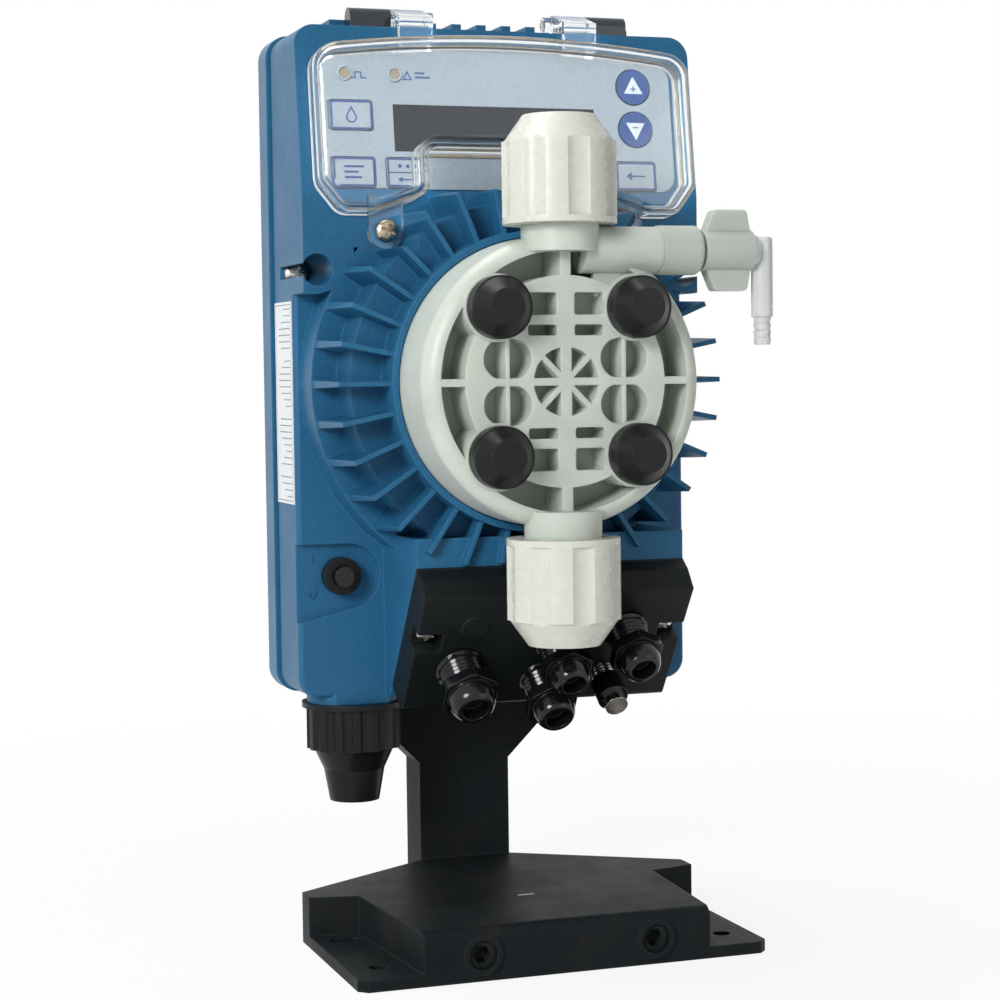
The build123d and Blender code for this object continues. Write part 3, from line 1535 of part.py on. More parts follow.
with BuildPart() as bleed_knob:
    with BuildSketch(bleed_plane.offset(needle_seat + needle_cone)):
        Circle(needle_r)
    extrude(amount=knob_start - needle_seat - needle_cone)
    with BuildSketch(bleed_plane.offset(needle_seat + needle_cone)):
        Circle(needle_r)
    extrude(amount=-needle_cone, taper=slope(needle_r, needle_tip_r, needle_cone))
    with BuildSketch(bleed_plane.offset(knob_start)):
        Circle(knob_hub_r)
    extrude(amount=knob_end - knob_start)
    with BuildSketch(Plane.XZ.offset(-stack_y)) as wing_outline:
        with BuildLine():
            Polyline(
                (knob_start, branch_z - knob_hub_r / 2),
                (knob_wing_start, branch_z - knob_wing / 2),
                (knob_end - wing_lean, branch_z - knob_wing / 2),
                (knob_end, branch_z - knob_hub_r / 2),
                (knob_end, branch_z + knob_hub_r / 2),
                (knob_end - wing_lean, branch_z + knob_wing / 2),
                (knob_wing_start, branch_z + knob_wing / 2),
                (knob_start, branch_z + knob_hub_r / 2),
                close=True,
            )
        make_face()
        wing_tips = wing_outline.vertices().filter_by_position(
            Axis.X,
            knob_wing_start - 0.1,
            knob_end - wing_lean + 0.1,
        )
        fillet(wing_tips, bonnet_round)
    extrude(amount=knob_wing_thick / 2, both=True)
    with BuildSketch(bleed_plane.offset(needle_groove_x)):
        Circle(needle_r)
        Circle(needle_groove_r, mode=Mode.SUBTRACT)
    extrude(amount=needle_groove_width, mode=Mode.SUBTRACT)
    with BuildSketch(bleed_plane.offset(knob_end)):
        Circle(nozzle_bore_r)
    extrude(amount=-(knob_end - knob_wing_start), mode=Mode.SUBTRACT)
bleed_knob.part.label = "bleed_knob"
export_step(bleed_knob.part, "parts/bleed_knob.step")

with BuildPart() as bleed_elbow:
    with BuildSketch(Plane(origin=(nozzle_x, stack_y, nozzle_step_z))):
        Circle(nozzle_r)
    extrude(amount=nozzle_top - nozzle_step_z)
    fillet(bleed_elbow.faces().sort_by(Axis.Z)[-1].edges(), nozzle_top_round)
    with BuildSketch(bleed_plane.offset(knob_end + nozzle_play)):
        Circle(nozzle_disc_r)
    extrude(amount=nozzle_disc_end - knob_end - nozzle_play)
    with BuildSketch(bleed_plane.offset(knob_end + nozzle_play)):
        Circle(nozzle_stub_r)
    extrude(amount=-(knob_end - knob_wing_start) / 2)
    with BuildSketch(bleed_plane.offset(nozzle_disc_end)):
        Circle(nozzle_arm_r)
    extrude(amount=nozzle_x - nozzle_disc_end)
    for step in range(nozzle_barbs):
        with BuildSketch(Plane(origin=(nozzle_x, stack_y, nozzle_step_z - step * nozzle_barb_pitch))):
            Circle(nozzle_barb_r)
        extrude(
            amount=-nozzle_barb_pitch,
            taper=slope(nozzle_barb_r, nozzle_barb_tip_r, nozzle_barb_pitch),
        )
    with BuildSketch(Plane(origin=(nozzle_x, stack_y, nozzle_end_z))):
        Circle(nozzle_hole_r)
    extrude(amount=branch_z - nozzle_end_z, mode=Mode.SUBTRACT)
bleed_elbow.part.label = "bleed_elbow"
export_step(bleed_elbow.part, "parts/bleed_elbow.step")

# Wiring lid with its gasket, screws, glands and signal plug
with BuildPart() as lid_seal:
    with BuildSketch(slant_plane):
        with Locations((chest_mid_x, -chest_foot / 2)):
            Rectangle(chest_width, chest_foot)
            Rectangle(chest_width - 2 * lid_wall, chest_foot - 2 * lid_wall, mode=Mode.SUBTRACT)
    extrude(amount=lid_gasket)
lid_seal.part.label = "lid_seal"
export_step(lid_seal.part, "parts/lid_seal.step")

with BuildPart() as terminal_lid:
    with BuildSketch(slant_plane.offset(lid_gasket)):
        with Locations((chest_mid_x, -chest_foot / 2)):
            Rectangle(chest_width, chest_foot)
    extrude(amount=lid_thick - lid_gasket)
    nose = terminal_lid.edges().filter_by(Axis.X).sort_by(Axis.Y)[0]
    chamfer(nose, lid_nose, lid_nose_back)
    fillet(terminal_lid.edges().filter_by(Axis.X).sort_by(Axis.Z)[0], lid_corner)
    with BuildSketch(slant_plane.offset(lid_gasket)):
        with Locations((chest_mid_x, -(chest_foot + lid_nose) / 2)):
            Rectangle(chest_width - 2 * lid_wall, chest_foot - lid_nose - 2 * lid_wall)
    extrude(amount=lid_thick - lid_gasket - lid_wall, mode=Mode.SUBTRACT)
    with BuildSketch(slant_plane.offset(lid_gasket)):
        with Locations(*lid_screw_points):
            Rectangle(lid_ear, lid_ear)
        with Locations((chest_mid_x, lid_screw_t)):
            Rectangle(chest_width - 2 * lid_wall, 2 * lid_ear, mode=Mode.INTERSECT)
    extrude(amount=lid_thick - lid_gasket)
    with BuildSketch(slant_plane.offset(lid_thick)):
        with Locations(*lid_screw_points):
            Rectangle(lid_ear - lid_wall / 2, lid_ear - lid_wall / 2)
        for side in (-1, 1):
            with Locations((chest_mid_x + side * chest_width / 2, lid_screw_t)):
                Rectangle(lid_ear, lid_ear - lid_wall / 2)
    extrude(amount=-lid_ear_depth, mode=Mode.SUBTRACT)
    with BuildSketch(slant_plane):
        with Locations(*lid_screw_points):
            Circle(lid_screw_r + lid_screw_gap)
        for gland_x, gland_t, gland_r in gland_places:
            with Locations((gland_x, gland_t)):
                Circle(gland_r * gland_thread_part)
        with Locations((plug_x, plug_t)):
            Circle(plug_thread_r)
    extrude(amount=lid_thick, mode=Mode.SUBTRACT)
    with BuildSketch(slant_plane.offset(lid_thick)):
        with Locations((blank_x, blank_t)):
            Circle(blank_r)
    extrude(amount=blank_height)
terminal_lid.part.label = "terminal_lid"
export_step(terminal_lid.part, "parts/terminal_lid.step")

with BuildPart() as lid_screws:
    with BuildSketch(slant_plane.offset(lid_thick - lid_ear_depth)):
        with Locations(*lid_screw_points):
            Circle(lid_screw_head_r)
    extrude(amount=lid_screw_head)
    with BuildSketch(slant_plane.offset(lid_thick - lid_ear_depth)):
        with Locations(*lid_screw_points):
            Circle(lid_screw_r)
    extrude(amount=-lid_screw_length)
lid_screws.part.label = "lid_screws"
export_step(lid_screws.part, "parts/lid_screws.step")

with BuildPart() as gland_bodies:
    for gland_x, gland_t, gland_r in gland_places:
        with BuildSketch(slant_plane.offset(lid_thick - lid_wall)):
            with Locations((gland_x, gland_t)):
                Circle(gland_r * gland_thread_part)
        extrude(amount=lid_wall + gland_thread)
        with BuildSketch(slant_plane.offset(lid_thick)):
            with Locations((gland_x, gland_t)):
                RegularPolygon(gland_r, 6)
        extrude(amount=gland_flange)
        with BuildSketch(slant_plane.offset(lid_thick - lid_wall)):
            with Locations((gland_x, gland_t)):
                Circle(gland_r * gland_mouth_part)
        extrude(amount=lid_wall + gland_thread, mode=Mode.SUBTRACT)
gland_bodies.part.label = "gland_bodies"
export_step(gland_bodies.part, "parts/gland_bodies.step")

with BuildPart() as gland_nuts:
    for gland_x, gland_t, gland_r in gland_places:
        with BuildSketch(slant_plane.offset(lid_thick + gland_flange + gland_play)):
            with Locations((gland_x, gland_t)):
                RegularPolygon(gland_r, 6)
        extrude(amount=gland_hex)
        with BuildSketch(slant_plane.offset(lid_thick + gland_flange + gland_play + gland_hex)):
            with Locations((gland_x, gland_t)):
                Circle(gland_r * gland_dome_part)
        extrude(amount=gland_dome, taper=gland_slope)
        with BuildSketch(slant_plane.offset(lid_thick)):
            with Locations((gland_x, gland_t)):
                Circle(gland_r * gland_thread_part)
        extrude(amount=gland_thread, mode=Mode.SUBTRACT)
        with BuildSketch(slant_plane.offset(lid_thick)):
            with Locations((gland_x, gland_t)):
                Circle(gland_r * gland_mouth_part)
        extrude(amount=gland_flange + gland_play + gland_hex + gland_dome, mode=Mode.SUBTRACT)
gland_nuts.part.label = "gland_nuts"
export_step(gland_nuts.part, "parts/gland_nuts.step")

with BuildPart() as signal_plug:
    with BuildSketch(slant_plane.offset(lid_thick - lid_wall)):
        with Locations((plug_x, plug_t)):
            Circle(plug_thread_r)
    extrude(amount=lid_wall + plug_thread)
    with BuildSketch(slant_plane.offset(lid_thick + plug_thread + plug_body)):
        with Locations((plug_x, plug_t)):
            Circle(plug_tip_r)
    extrude(amount=plug_tip)
    with BuildSketch(slant_plane.offset(lid_thick + plug_thread + plug_body)):
        with Locations((plug_x, plug_t)):
            Circle(plug_pin_r)
    extrude(amount=-plug_body)
signal_plug.part.label = "signal_plug"
export_step(signal_plug.part, "parts/signal_plug.step")

with BuildPart() as signal_plug_grip:
    with BuildSketch(slant_plane.offset(lid_thick + plug_thread)):
        with Locations((plug_x, plug_t)):
            Circle(plug_body_r)
            Circle(plug_pin_r, mode=Mode.SUBTRACT)
    extrude(amount=plug_body)
signal_plug_grip.part.label = "signal_plug_grip"
export_step(signal_plug_grip.part, "parts/signal_plug_grip.step")

with BuildPart() as terminal_block:
    with BuildSketch(slant_plane.offset(lid_gasket)):
        with Locations((chest_mid_x, -chest_foot / 2)):
            Rectangle(chest_width / 2 - terminal_gap, chest_foot / 3 - terminal_gap)
            with GridLocations(terminal_pitch, 0, terminal_count, 1):
                Rectangle(terminal_hole, terminal_hole, mode=Mode.SUBTRACT)
    extrude(amount=-terminal_depth)
terminal_block.part.label = "terminal_block"
export_step(terminal_block.part, "parts/terminal_block.step")

# Power cable inlet under the case
inlet_y = rear_y - inlet_centre
inlet_face_z = case_bottom_z - inlet_neck
with BuildPart() as inlet_body:
    with BuildSketch(Plane(origin=(inlet_x, inlet_y, inlet_face_z))):
        Circle(inlet_collar_r)
    extrude(amount=-inlet_collar)
    with BuildSketch(Plane(origin=(inlet_x, inlet_y, inlet_face_z - inlet_collar))):
        Circle(inlet_thread_r)
    extrude(amount=inlet_collar + inlet_thread)
    with BuildSketch(Plane(origin=(inlet_x, inlet_y, inlet_face_z - inlet_collar))):
        Circle(inlet_bore_r)
    extrude(amount=inlet_collar + inlet_thread, mode=Mode.SUBTRACT)
inlet_body.part.label = "inlet_body"
export_step(inlet_body.part, "parts/inlet_body.step")

with BuildPart() as inlet_nut_ring:
    with BuildSketch(Plane(origin=(inlet_x, inlet_y, inlet_face_z - inlet_collar))):
        Circle(inlet_nut_r)
        with PolarLocations(inlet_nut_r + inlet_flute_r / 2, inlet_flutes):
            Circle(inlet_flute_r, mode=Mode.SUBTRACT)
        Circle(inlet_bore_r, mode=Mode.SUBTRACT)
    extrude(amount=-inlet_nut)
inlet_nut_ring.part.label = "inlet_nut"
export_step(inlet_nut_ring.part, "parts/inlet_nut.step")

sleeve_z = inlet_face_z - inlet_collar - inlet_nut
with BuildPart() as inlet_sleeve:
    with BuildSketch(Plane(origin=(inlet_x, inlet_y, sleeve_z))):
        Circle(inlet_nut_r - inlet_flute_r)
    extrude(amount=-inlet_cone, taper=slope(inlet_nut_r - inlet_flute_r, inlet_cone_r, inlet_cone))
    with BuildSketch(Plane(origin=(inlet_x, inlet_y, sleeve_z - inlet_cone))):
        Circle(inlet_cone_r)
    extrude(amount=-inlet_end, taper=slope(inlet_cone_r, inlet_end_r, inlet_end))
    with BuildSketch(Plane(origin=(inlet_x, inlet_y, sleeve_z))):
        Circle(inlet_bore_r)
    extrude(amount=-(inlet_cone + inlet_end), mode=Mode.SUBTRACT)
inlet_sleeve.part.label = "inlet_sleeve"
export_step(inlet_sleeve.part, "parts/inlet_sleeve.step")

# Mains switch
with BuildPart() as switch_body:
    with BuildSketch(back_plane.offset(shelf_depth - switch_pocket_depth)):
        with Locations((switch_x, switch_z)):
            Circle(switch_ring_r)
    extrude(amount=switch_ring_front - shelf_depth + switch_pocket_depth)
    with BuildSketch(back_plane.offset(shelf_depth - switch_pocket_depth)):
        with Locations((switch_x, switch_z)):
            Circle(switch_body_r)
    extrude(amount=-(shelf_depth - switch_pocket_depth - switch_body_back))
    with BuildSketch(back_plane.offset(switch_ring_front)):
        with Locations((switch_x, switch_z)):
            Circle(switch_button_r + switch_fit)
    extrude(
        amount=-(switch_ring_front - switch_button_back + switch_travel + switch_fit),
        mode=Mode.SUBTRACT,
    )
switch_body.part.label = "switch_body"
export_step(switch_body.part, "parts/switch_body.step")

with BuildPart() as switch_button:
    with BuildSketch(back_plane.offset(switch_button_back)):
        with Locations((switch_x, switch_z)):
            Circle(switch_button_r)
    extrude(amount=switch_button_front - switch_button_back)
switch_button.part.label = "switch_button"
export_step(switch_button.part, "parts/switch_button.step")

# Drive magnet, plunger, rod and spring inside the drum
with BuildPart() as magnet_yoke:
    with BuildSketch(head_plane.offset(yoke_back)):
        Circle(yoke_r)
    extrude(amount=drum_bore_depth - yoke_back)
    with BuildSketch(head_plane.offset(yoke_back + yoke_end)):
        Circle(yoke_r - yoke_wall)
    extrude(amount=drum_bore_depth - yoke_back - 2 * yoke_end, mode=Mode.SUBTRACT)
    with BuildSketch(head_plane.offset(drum_bore_depth)):
        Circle(plunger_r + yoke_gap)
    extrude(amount=-yoke_end, mode=Mode.SUBTRACT)
    with BuildSketch(head_plane.offset(yoke_back + yoke_end)):
        Circle(pole_r)
    extrude(amount=pole_front - yoke_back - yoke_end)
magnet_yoke.part.label = "magnet_yoke"
export_step(magnet_yoke.part, "parts/magnet_yoke.step")

with BuildPart() as magnet_coil:
    with BuildSketch(head_plane.offset(yoke_back + yoke_end)):
        Circle(coil_r)
        Circle(coil_bore_r, mode=Mode.SUBTRACT)
    extrude(amount=drum_bore_depth - yoke_back - 2 * yoke_end)
magnet_coil.part.label = "magnet_coil"
export_step(magnet_coil.part, "parts/magnet_coil.step")

with BuildPart() as plunger:
    with BuildSketch(head_plane.offset(plunger_back)):
        Circle(plunger_r)
    extrude(amount=plunger_front - plunger_back)
    with BuildSketch(head_plane.offset(plunger_front)):
        Circle(rod_r)
    extrude(amount=disc_back - plunger_front)
    with BuildSketch(head_plane.offset(collar_back)):
        Circle(collar_r)
    extrude(amount=collar_thick)
plunger.part.label = "plunger"
export_step(plunger.part, "parts/plunger.step")

with BuildPart() as return_spring:
    spring_start = rear_y - spring_back
    with BuildLine() as spring_path:
        Helix(
            spring_length / spring_turns,
            spring_length,
            spring_r,
            center=(0, spring_start, axis_z),
            direction=(0, -1, 0),
        )
    with BuildSketch(spring_path.line ^ 0):
        Circle(spring_wire_r)
    sweep()
return_spring.part.label = "return_spring"
export_step(return_spring.part, "parts/return_spring.step")

with BuildPart() as spring_washer:
    with BuildSketch(head_plane.offset(washer_back)):
        Circle(drive_room_r)
        Circle(washer_bore_r, mode=Mode.SUBTRACT)
    extrude(amount=washer_plate)
spring_washer.part.label = "spring_washer"
export_step(spring_washer.part, "parts/spring_washer.step")
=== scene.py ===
import math
import bmesh
import bpy
from mathutils import Matrix, Vector


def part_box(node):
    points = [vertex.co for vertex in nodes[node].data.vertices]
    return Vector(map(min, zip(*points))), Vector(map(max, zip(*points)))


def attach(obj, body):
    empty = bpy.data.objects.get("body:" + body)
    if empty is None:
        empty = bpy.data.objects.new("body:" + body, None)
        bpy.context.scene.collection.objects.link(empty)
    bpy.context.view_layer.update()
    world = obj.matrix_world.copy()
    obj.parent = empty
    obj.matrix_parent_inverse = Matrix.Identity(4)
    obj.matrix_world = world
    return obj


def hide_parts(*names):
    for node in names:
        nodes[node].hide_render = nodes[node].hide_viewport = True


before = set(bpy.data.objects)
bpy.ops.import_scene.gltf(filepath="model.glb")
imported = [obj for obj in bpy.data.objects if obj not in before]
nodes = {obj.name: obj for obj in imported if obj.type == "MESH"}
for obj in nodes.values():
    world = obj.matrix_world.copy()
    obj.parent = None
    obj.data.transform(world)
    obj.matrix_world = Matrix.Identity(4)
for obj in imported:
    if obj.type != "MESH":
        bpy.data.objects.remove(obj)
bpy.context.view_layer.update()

scene = bpy.context.scene

# X is to the right, -Y to the front and Z up. Sizes are in millimetres unless a name or comment says otherwise.
MM = 0.001
MAIN_BODY = "pump"
FRONT = Vector((0, -1, 0))

# Camera, solved from the photograph
CAMERA_PLACE_M = (-0.2274, -0.6364, 0.1680)
CAMERA_YAW = math.radians(-18.99)
CAMERA_PITCH = math.radians(2.99)
CAMERA_ROLL = math.radians(-0.76)
CAMERA_SHIFT = (-0.001, -0.002)
CAMERA_CLIP_M = (0.02, 60)
SENSOR_WIDTH = 36
FOCAL_PIXELS = 2323
PHOTO_WIDTH = 1000


def camera_matrix():
    level = math.cos(CAMERA_PITCH)
    back = Vector((math.sin(CAMERA_YAW) * level, -math.cos(CAMERA_YAW) * level, math.sin(CAMERA_PITCH)))
    right = Vector((0, 0, 1)).cross(back).normalized()
    up = back.cross(right)
    rolled_right = right * math.cos(CAMERA_ROLL) + up * math.sin(CAMERA_ROLL)
    rolled_up = up * math.cos(CAMERA_ROLL) - right * math.sin(CAMERA_ROLL)
    matrix = Matrix((rolled_right, rolled_up, back)).transposed().to_4x4()
    matrix.translation = Vector(CAMERA_PLACE_M)
    return matrix


def add_camera():
    data = bpy.data.cameras.new("camera")
    data.sensor_width = SENSOR_WIDTH
    data.lens = SENSOR_WIDTH * FOCAL_PIXELS / PHOTO_WIDTH
    data.shift_x, data.shift_y = CAMERA_SHIFT
    data.clip_start, data.clip_end = CAMERA_CLIP_M
    camera = bpy.data.objects.new("camera", data)
    scene.collection.objects.link(camera)
    camera.matrix_world = camera_matrix()
    scene.camera = camera


add_camera()
scene.view_settings.view_transform = "Standard"


# Material helpers. Lengths in materials are in metres, and noise scales are in repeats per metre.
BEVEL_SAMPLES = 4
MILKY_IOR = 1.46
CLEAR_IOR = 1.49
CLEAR_MIRROR = 0.12
CLEAR_SHADOW = (0.93, 0.95, 0.95, 1)


def new_material(name):
    mat = bpy.data.materials.new(name)
    mat.use_nodes = True
    tree = mat.node_tree
    tree.nodes.clear()
    out = tree.nodes.new("ShaderNodeOutputMaterial")
    bsdf = tree.nodes.new("ShaderNodeBsdfPrincipled")
    link(tree, bsdf.outputs[0], out.inputs[0])
    return mat, tree, bsdf, out


def link(tree, a, b):
    tree.links.new(a, b)


def rgba(value):
    return (*value, 1) if hasattr(value, "__len__") else (value, value, value, 1)


def shades(base, vary):
    dark = tuple(c * (1 - vary) for c in base)
    light = tuple(min(1, c * (1 + vary)) for c in base)
    return dark, light


def noise(tree, scale, detail=3.0, rough=0.55, stretch=None):
    coord = tree.nodes.new("ShaderNodeTexCoord")
    tex = tree.nodes.new("ShaderNodeTexNoise")
    tex.inputs["Scale"].default_value = scale
    tex.inputs["Detail"].default_value = detail
    tex.inputs["Roughness"].default_value = rough
    if stretch:
        mapping = tree.nodes.new("ShaderNodeMapping")
        mapping.inputs["Scale"].default_value = stretch
        link(tree, coord.outputs["Object"], mapping.inputs[0])
        link(tree, mapping.outputs[0], tex.inputs["Vector"])
    else:
        link(tree, coord.outputs["Object"], tex.inputs["Vector"])
    return tex.outputs["Fac"]


def ramp(tree, fac, low, high, start=0.3, end=0.7):
    node = tree.nodes.new("ShaderNodeValToRGB")
    node.color_ramp.elements[0].position = start
    node.color_ramp.elements[1].position = end
    node.color_ramp.elements[0].color = rgba(low)
    node.color_ramp.elements[1].color = rgba(high)
    link(tree, fac, node.inputs[0])
    return node.outputs[0]


def mix_colour(tree, fac, a, b, blend="MIX"):
    node = tree.nodes.new("ShaderNodeMix")
    node.data_type = "RGBA"
    node.blend_type = blend
    if hasattr(fac, "is_linked"):
        link(tree, fac, node.inputs[0])
    else:
        node.inputs[0].default_value = fac
    for value, socket in ((a, node.inputs[6]), (b, node.inputs[7])):
        if hasattr(value, "is_linked"):
            link(tree, value, socket)
        else:
            socket.default_value = rgba(value)
    return node.outputs[2]


def bevel_normal(tree, radius):
    bevel = tree.nodes.new("ShaderNodeBevel")
    bevel.samples = BEVEL_SAMPLES
    bevel.inputs["Radius"].default_value = radius
    return bevel.outputs[0]


def edge_mask(tree, radius, low=0.02, high=0.25):
    geo = tree.nodes.new("ShaderNodeNewGeometry")
    dot = tree.nodes.new("ShaderNodeVectorMath")
    dot.operation = "DOT_PRODUCT"
    link(tree, bevel_normal(tree, radius), dot.inputs[0])
    link(tree, geo.outputs["True Normal"], dot.inputs[1])
    inverse = tree.nodes.new("ShaderNodeMath")
    inverse.operation = "SUBTRACT"
    inverse.inputs[0].default_value = 1.0
    link(tree, dot.outputs["Value"], inverse.inputs[1])
    spread = tree.nodes.new("ShaderNodeMapRange")
    spread.inputs["From Min"].default_value = low
    spread.inputs["From Max"].default_value = high
    link(tree, inverse.outputs[0], spread.inputs["Value"])
    return spread.outputs[0]


def add_bump(tree, bsdf, height, distance, strength, bevel_radius):
    bump = tree.nodes.new("ShaderNodeBump")
    bump.inputs["Distance"].default_value = distance
    bump.inputs["Strength"].default_value = strength
    link(tree, height, bump.inputs["Height"])
    link(tree, bevel_normal(tree, bevel_radius), bump.inputs["Normal"])
    link(tree, bump.outputs[0], bsdf.inputs["Normal"])


# A paler colour mixed in along the edges: a painted highlight where edges catch the light
def painted_edge_highlight(tree, colour, edge, amount, radius):
    scaled = tree.nodes.new("ShaderNodeMath")
    scaled.operation = "MULTIPLY"
    scaled.inputs[1].default_value = amount
    link(tree, edge_mask(tree, radius), scaled.inputs[0])
    return mix_colour(tree, scaled.outputs[0], colour, edge)


# Moulded plastic: clouds of colour, fine specks, a paler colour along the edges as a painted highlight, and a
# moulded grain
def plastic(name, base, rough=(0.32, 0.42), vary=0.10, grain=2600, bump=0.00002, spec=0.5,
            round_edges=0.0004, edge=None, edge_highlight_amount=0.5, cloud=18, tint=None):
    mat, tree, bsdf, _ = new_material(name)
    dark, light = shades(base, vary)
    colour = ramp(tree, noise(tree, cloud, 4, 0.6), dark, light, 0.35, 0.65)
    if tint:
        stain = ramp(tree, noise(tree, cloud * 3.3, 5, 0.7), 0.0, 0.6, 0.52, 0.72)
        colour = mix_colour(tree, stain, colour, tint)
    speck = ramp(tree, noise(tree, grain * 0.35, 2, 0.5), 0.90, 1.06, 0.3, 0.7)
    colour = mix_colour(tree, 1.0, colour, speck, "MULTIPLY")
    # edge is the colour of the painted highlight along the edges
    if edge:
        colour = painted_edge_highlight(tree, colour, edge, edge_highlight_amount, round_edges * 2.2)
    link(tree, colour, bsdf.inputs["Base Color"])
    roughness = ramp(tree, noise(tree, cloud * 2.1, 5, 0.65), rough[0], rough[1], 0.3, 0.7)
    link(tree, roughness, bsdf.inputs["Roughness"])
    bsdf.inputs["Specular IOR Level"].default_value = spec
    add_bump(tree, bsdf, noise(tree, grain, 3, 0.6), bump, 0.6, round_edges)
    return mat


# Milky plastic: light goes a little way in. The radius is multiplied by the scale.
def milky(name, base, weight=0.5, radius=(6, 6, 5), scale=0.0008, rough=(0.30, 0.42), transmission=0.0,
          cloud=60, vary=0.04, bump=0.000015, round_edges=0.0003, shade=None):
    mat, tree, bsdf, _ = new_material(name)
    dark, light = shades(base, vary)
    colour = ramp(tree, noise(tree, cloud, 4, 0.6), dark, light, 0.35, 0.65)
    if shade:
        patch = ramp(tree, noise(tree, 35, 3, 0.5, (1, 1, 2.4)), 0.0, 0.5, 0.45, 0.75)
        colour = mix_colour(tree, patch, colour, shade)
    link(tree, colour, bsdf.inputs["Base Color"])
    roughness = ramp(tree, noise(tree, 240, 4, 0.6), rough[0], rough[1], 0.3, 0.7)
    link(tree, roughness, bsdf.inputs["Roughness"])
    bsdf.inputs["Subsurface Weight"].default_value = weight
    bsdf.inputs["Subsurface Radius"].default_value = radius
    bsdf.inputs["Subsurface Scale"].default_value = scale
    bsdf.inputs["Transmission Weight"].default_value = transmission
    bsdf.inputs["IOR"].default_value = MILKY_IOR
    add_bump(tree, bsdf, noise(tree, 900, 4, 0.6), bump, 0.5, round_edges)
    return mat


# Metal with streaks from its making and some stain
def metal(name, base, rough=(0.22, 0.38), streak=(1, 1, 12), bump=0.00001, dirt=(0.10, 0.09, 0.07),
          dirt_amount=0.35):
    mat, tree, bsdf, _ = new_material(name)
    dark = tuple(c * 0.82 for c in base)
    colour = ramp(tree, noise(tree, 500, 4, 0.6, streak), dark, base, 0.3, 0.7)
    stain = ramp(tree, noise(tree, 420, 5, 0.7), 0.0, dirt_amount, 0.5, 0.75)
    colour = mix_colour(tree, stain, colour, dirt)
    link(tree, colour, bsdf.inputs["Base Color"])
    bsdf.inputs["Metallic"].default_value = 1.0
    roughness = ramp(tree, noise(tree, 800, 4, 0.6, streak), rough[0], rough[1], 0.3, 0.7)
    link(tree, roughness, bsdf.inputs["Roughness"])
    add_bump(tree, bsdf, noise(tree, 1800, 3, 0.6, streak), bump, 0.5, 0.0002)
    return mat


# Clear plastic, which lets shadow rays through so that what is behind it stays lit
def clear(name, tint=(0.96, 0.98, 0.98), rough=0.03):
    mat, tree, bsdf, out = new_material(name)
    dark = tuple(c * 0.98 for c in tint)
    link(tree, ramp(tree, noise(tree, 60, 3, 0.5), dark, tint, 0.3, 0.7), bsdf.inputs["Base Color"])
    roughness = ramp(tree, noise(tree, 160, 5, 0.65), rough * 0.6, rough * 1.8, 0.35, 0.7)
    link(tree, roughness, bsdf.inputs["Roughness"])
    bsdf.inputs["Transmission Weight"].default_value = 1.0
    bsdf.inputs["IOR"].default_value = CLEAR_IOR
    bsdf.inputs["Specular IOR Level"].default_value = CLEAR_MIRROR
    add_bump(tree, bsdf, noise(tree, 220, 3, 0.5), 0.00002, 0.25, 0.0005)
    path = tree.nodes.new("ShaderNodeLightPath")
    see_through = tree.nodes.new("ShaderNodeBsdfTransparent")
    see_through.inputs[0].default_value = CLEAR_SHADOW
    mixer = tree.nodes.new("ShaderNodeMixShader")
    link(tree, path.outputs["Is Shadow Ray"], mixer.inputs[0])
    link(tree, bsdf.outputs[0], mixer.inputs[1])
    link(tree, see_through.outputs[0], mixer.inputs[2])
    link(tree, mixer.outputs[0], out.inputs[0])
    return mat


# Materials
# The edge colours of the plastics below are painted highlights along their edges
blue_case = plastic("blue_case", (0.019, 0.118, 0.240), rough=(0.34, 0.46), vary=0.07, grain=2400,
                    bump=0.00003, spec=0.22, round_edges=0.0006, edge=(0.040, 0.18, 0.32), edge_highlight_amount=0.45)
blue_rear = plastic("blue_rear", (0.021, 0.125, 0.250), rough=(0.30, 0.42), vary=0.07, grain=2000,
                    spec=0.25, round_edges=0.0008, edge=(0.045, 0.19, 0.33), edge_highlight_amount=0.4)
black_foot = plastic("black_foot", (0.0105, 0.0130, 0.0145), rough=(0.40, 0.56), vary=0.16, grain=1700,
                     bump=0.00004, spec=0.06, round_edges=0.0006, edge=(0.030, 0.034, 0.036),
                     tint=(0.020, 0.020, 0.019))
black_lid = plastic("black_lid", (0.0090, 0.0115, 0.0125), rough=(0.30, 0.46), vary=0.16, grain=2200,
                    bump=0.00003, spec=0.12, round_edges=0.0007, edge=(0.024, 0.028, 0.030))
black_nut = plastic("black_nut", (0.0100, 0.0115, 0.0120), rough=(0.26, 0.38), vary=0.15, spec=0.16,
                    edge=(0.030, 0.033, 0.035), edge_highlight_amount=0.4)
black_gloss = plastic("black_gloss", (0.0050, 0.0060, 0.0075), rough=(0.07, 0.16), vary=0.2, grain=420,
                      bump=0.00008, spec=0.35)
cap_rubber = plastic("cap_rubber", (0.0075, 0.0085, 0.0090), rough=(0.28, 0.42), vary=0.2, grain=1500,
                     spec=0.20, round_edges=0.0006, edge=(0.030, 0.032, 0.032), edge_highlight_amount=0.35,
                     tint=(0.016, 0.016, 0.014))
barrel_dark = plastic("barrel_dark", (0.006, 0.014, 0.024), rough=(0.10, 0.18), vary=0.2, grain=900,
                      spec=0.6, round_edges=0.0003)
seal_rubber = plastic("seal_rubber", (0.014, 0.014, 0.015), rough=(0.5, 0.65), vary=0.15, spec=0.3)
seal_tan = plastic("seal_tan", (0.26, 0.21, 0.15), rough=(0.45, 0.6), vary=0.12, grain=1200,
                   bump=0.00004, spec=0.3)
head_white = milky("head_white", (0.56, 0.60, 0.54), weight=0.55, radius=(7, 7.2, 6.4), scale=0.0009,
                   rough=(0.34, 0.46), shade=(0.47, 0.53, 0.48))
adapter_white = milky("adapter_white", (0.52, 0.60, 0.62), radius=(5, 6, 6), rough=(0.25, 0.35))
nut_white = milky("nut_white", (0.66, 0.66, 0.59), weight=0.35, radius=(4, 4, 3), scale=0.0006,
                  rough=(0.24, 0.30), vary=0.012, bump=0.000004)
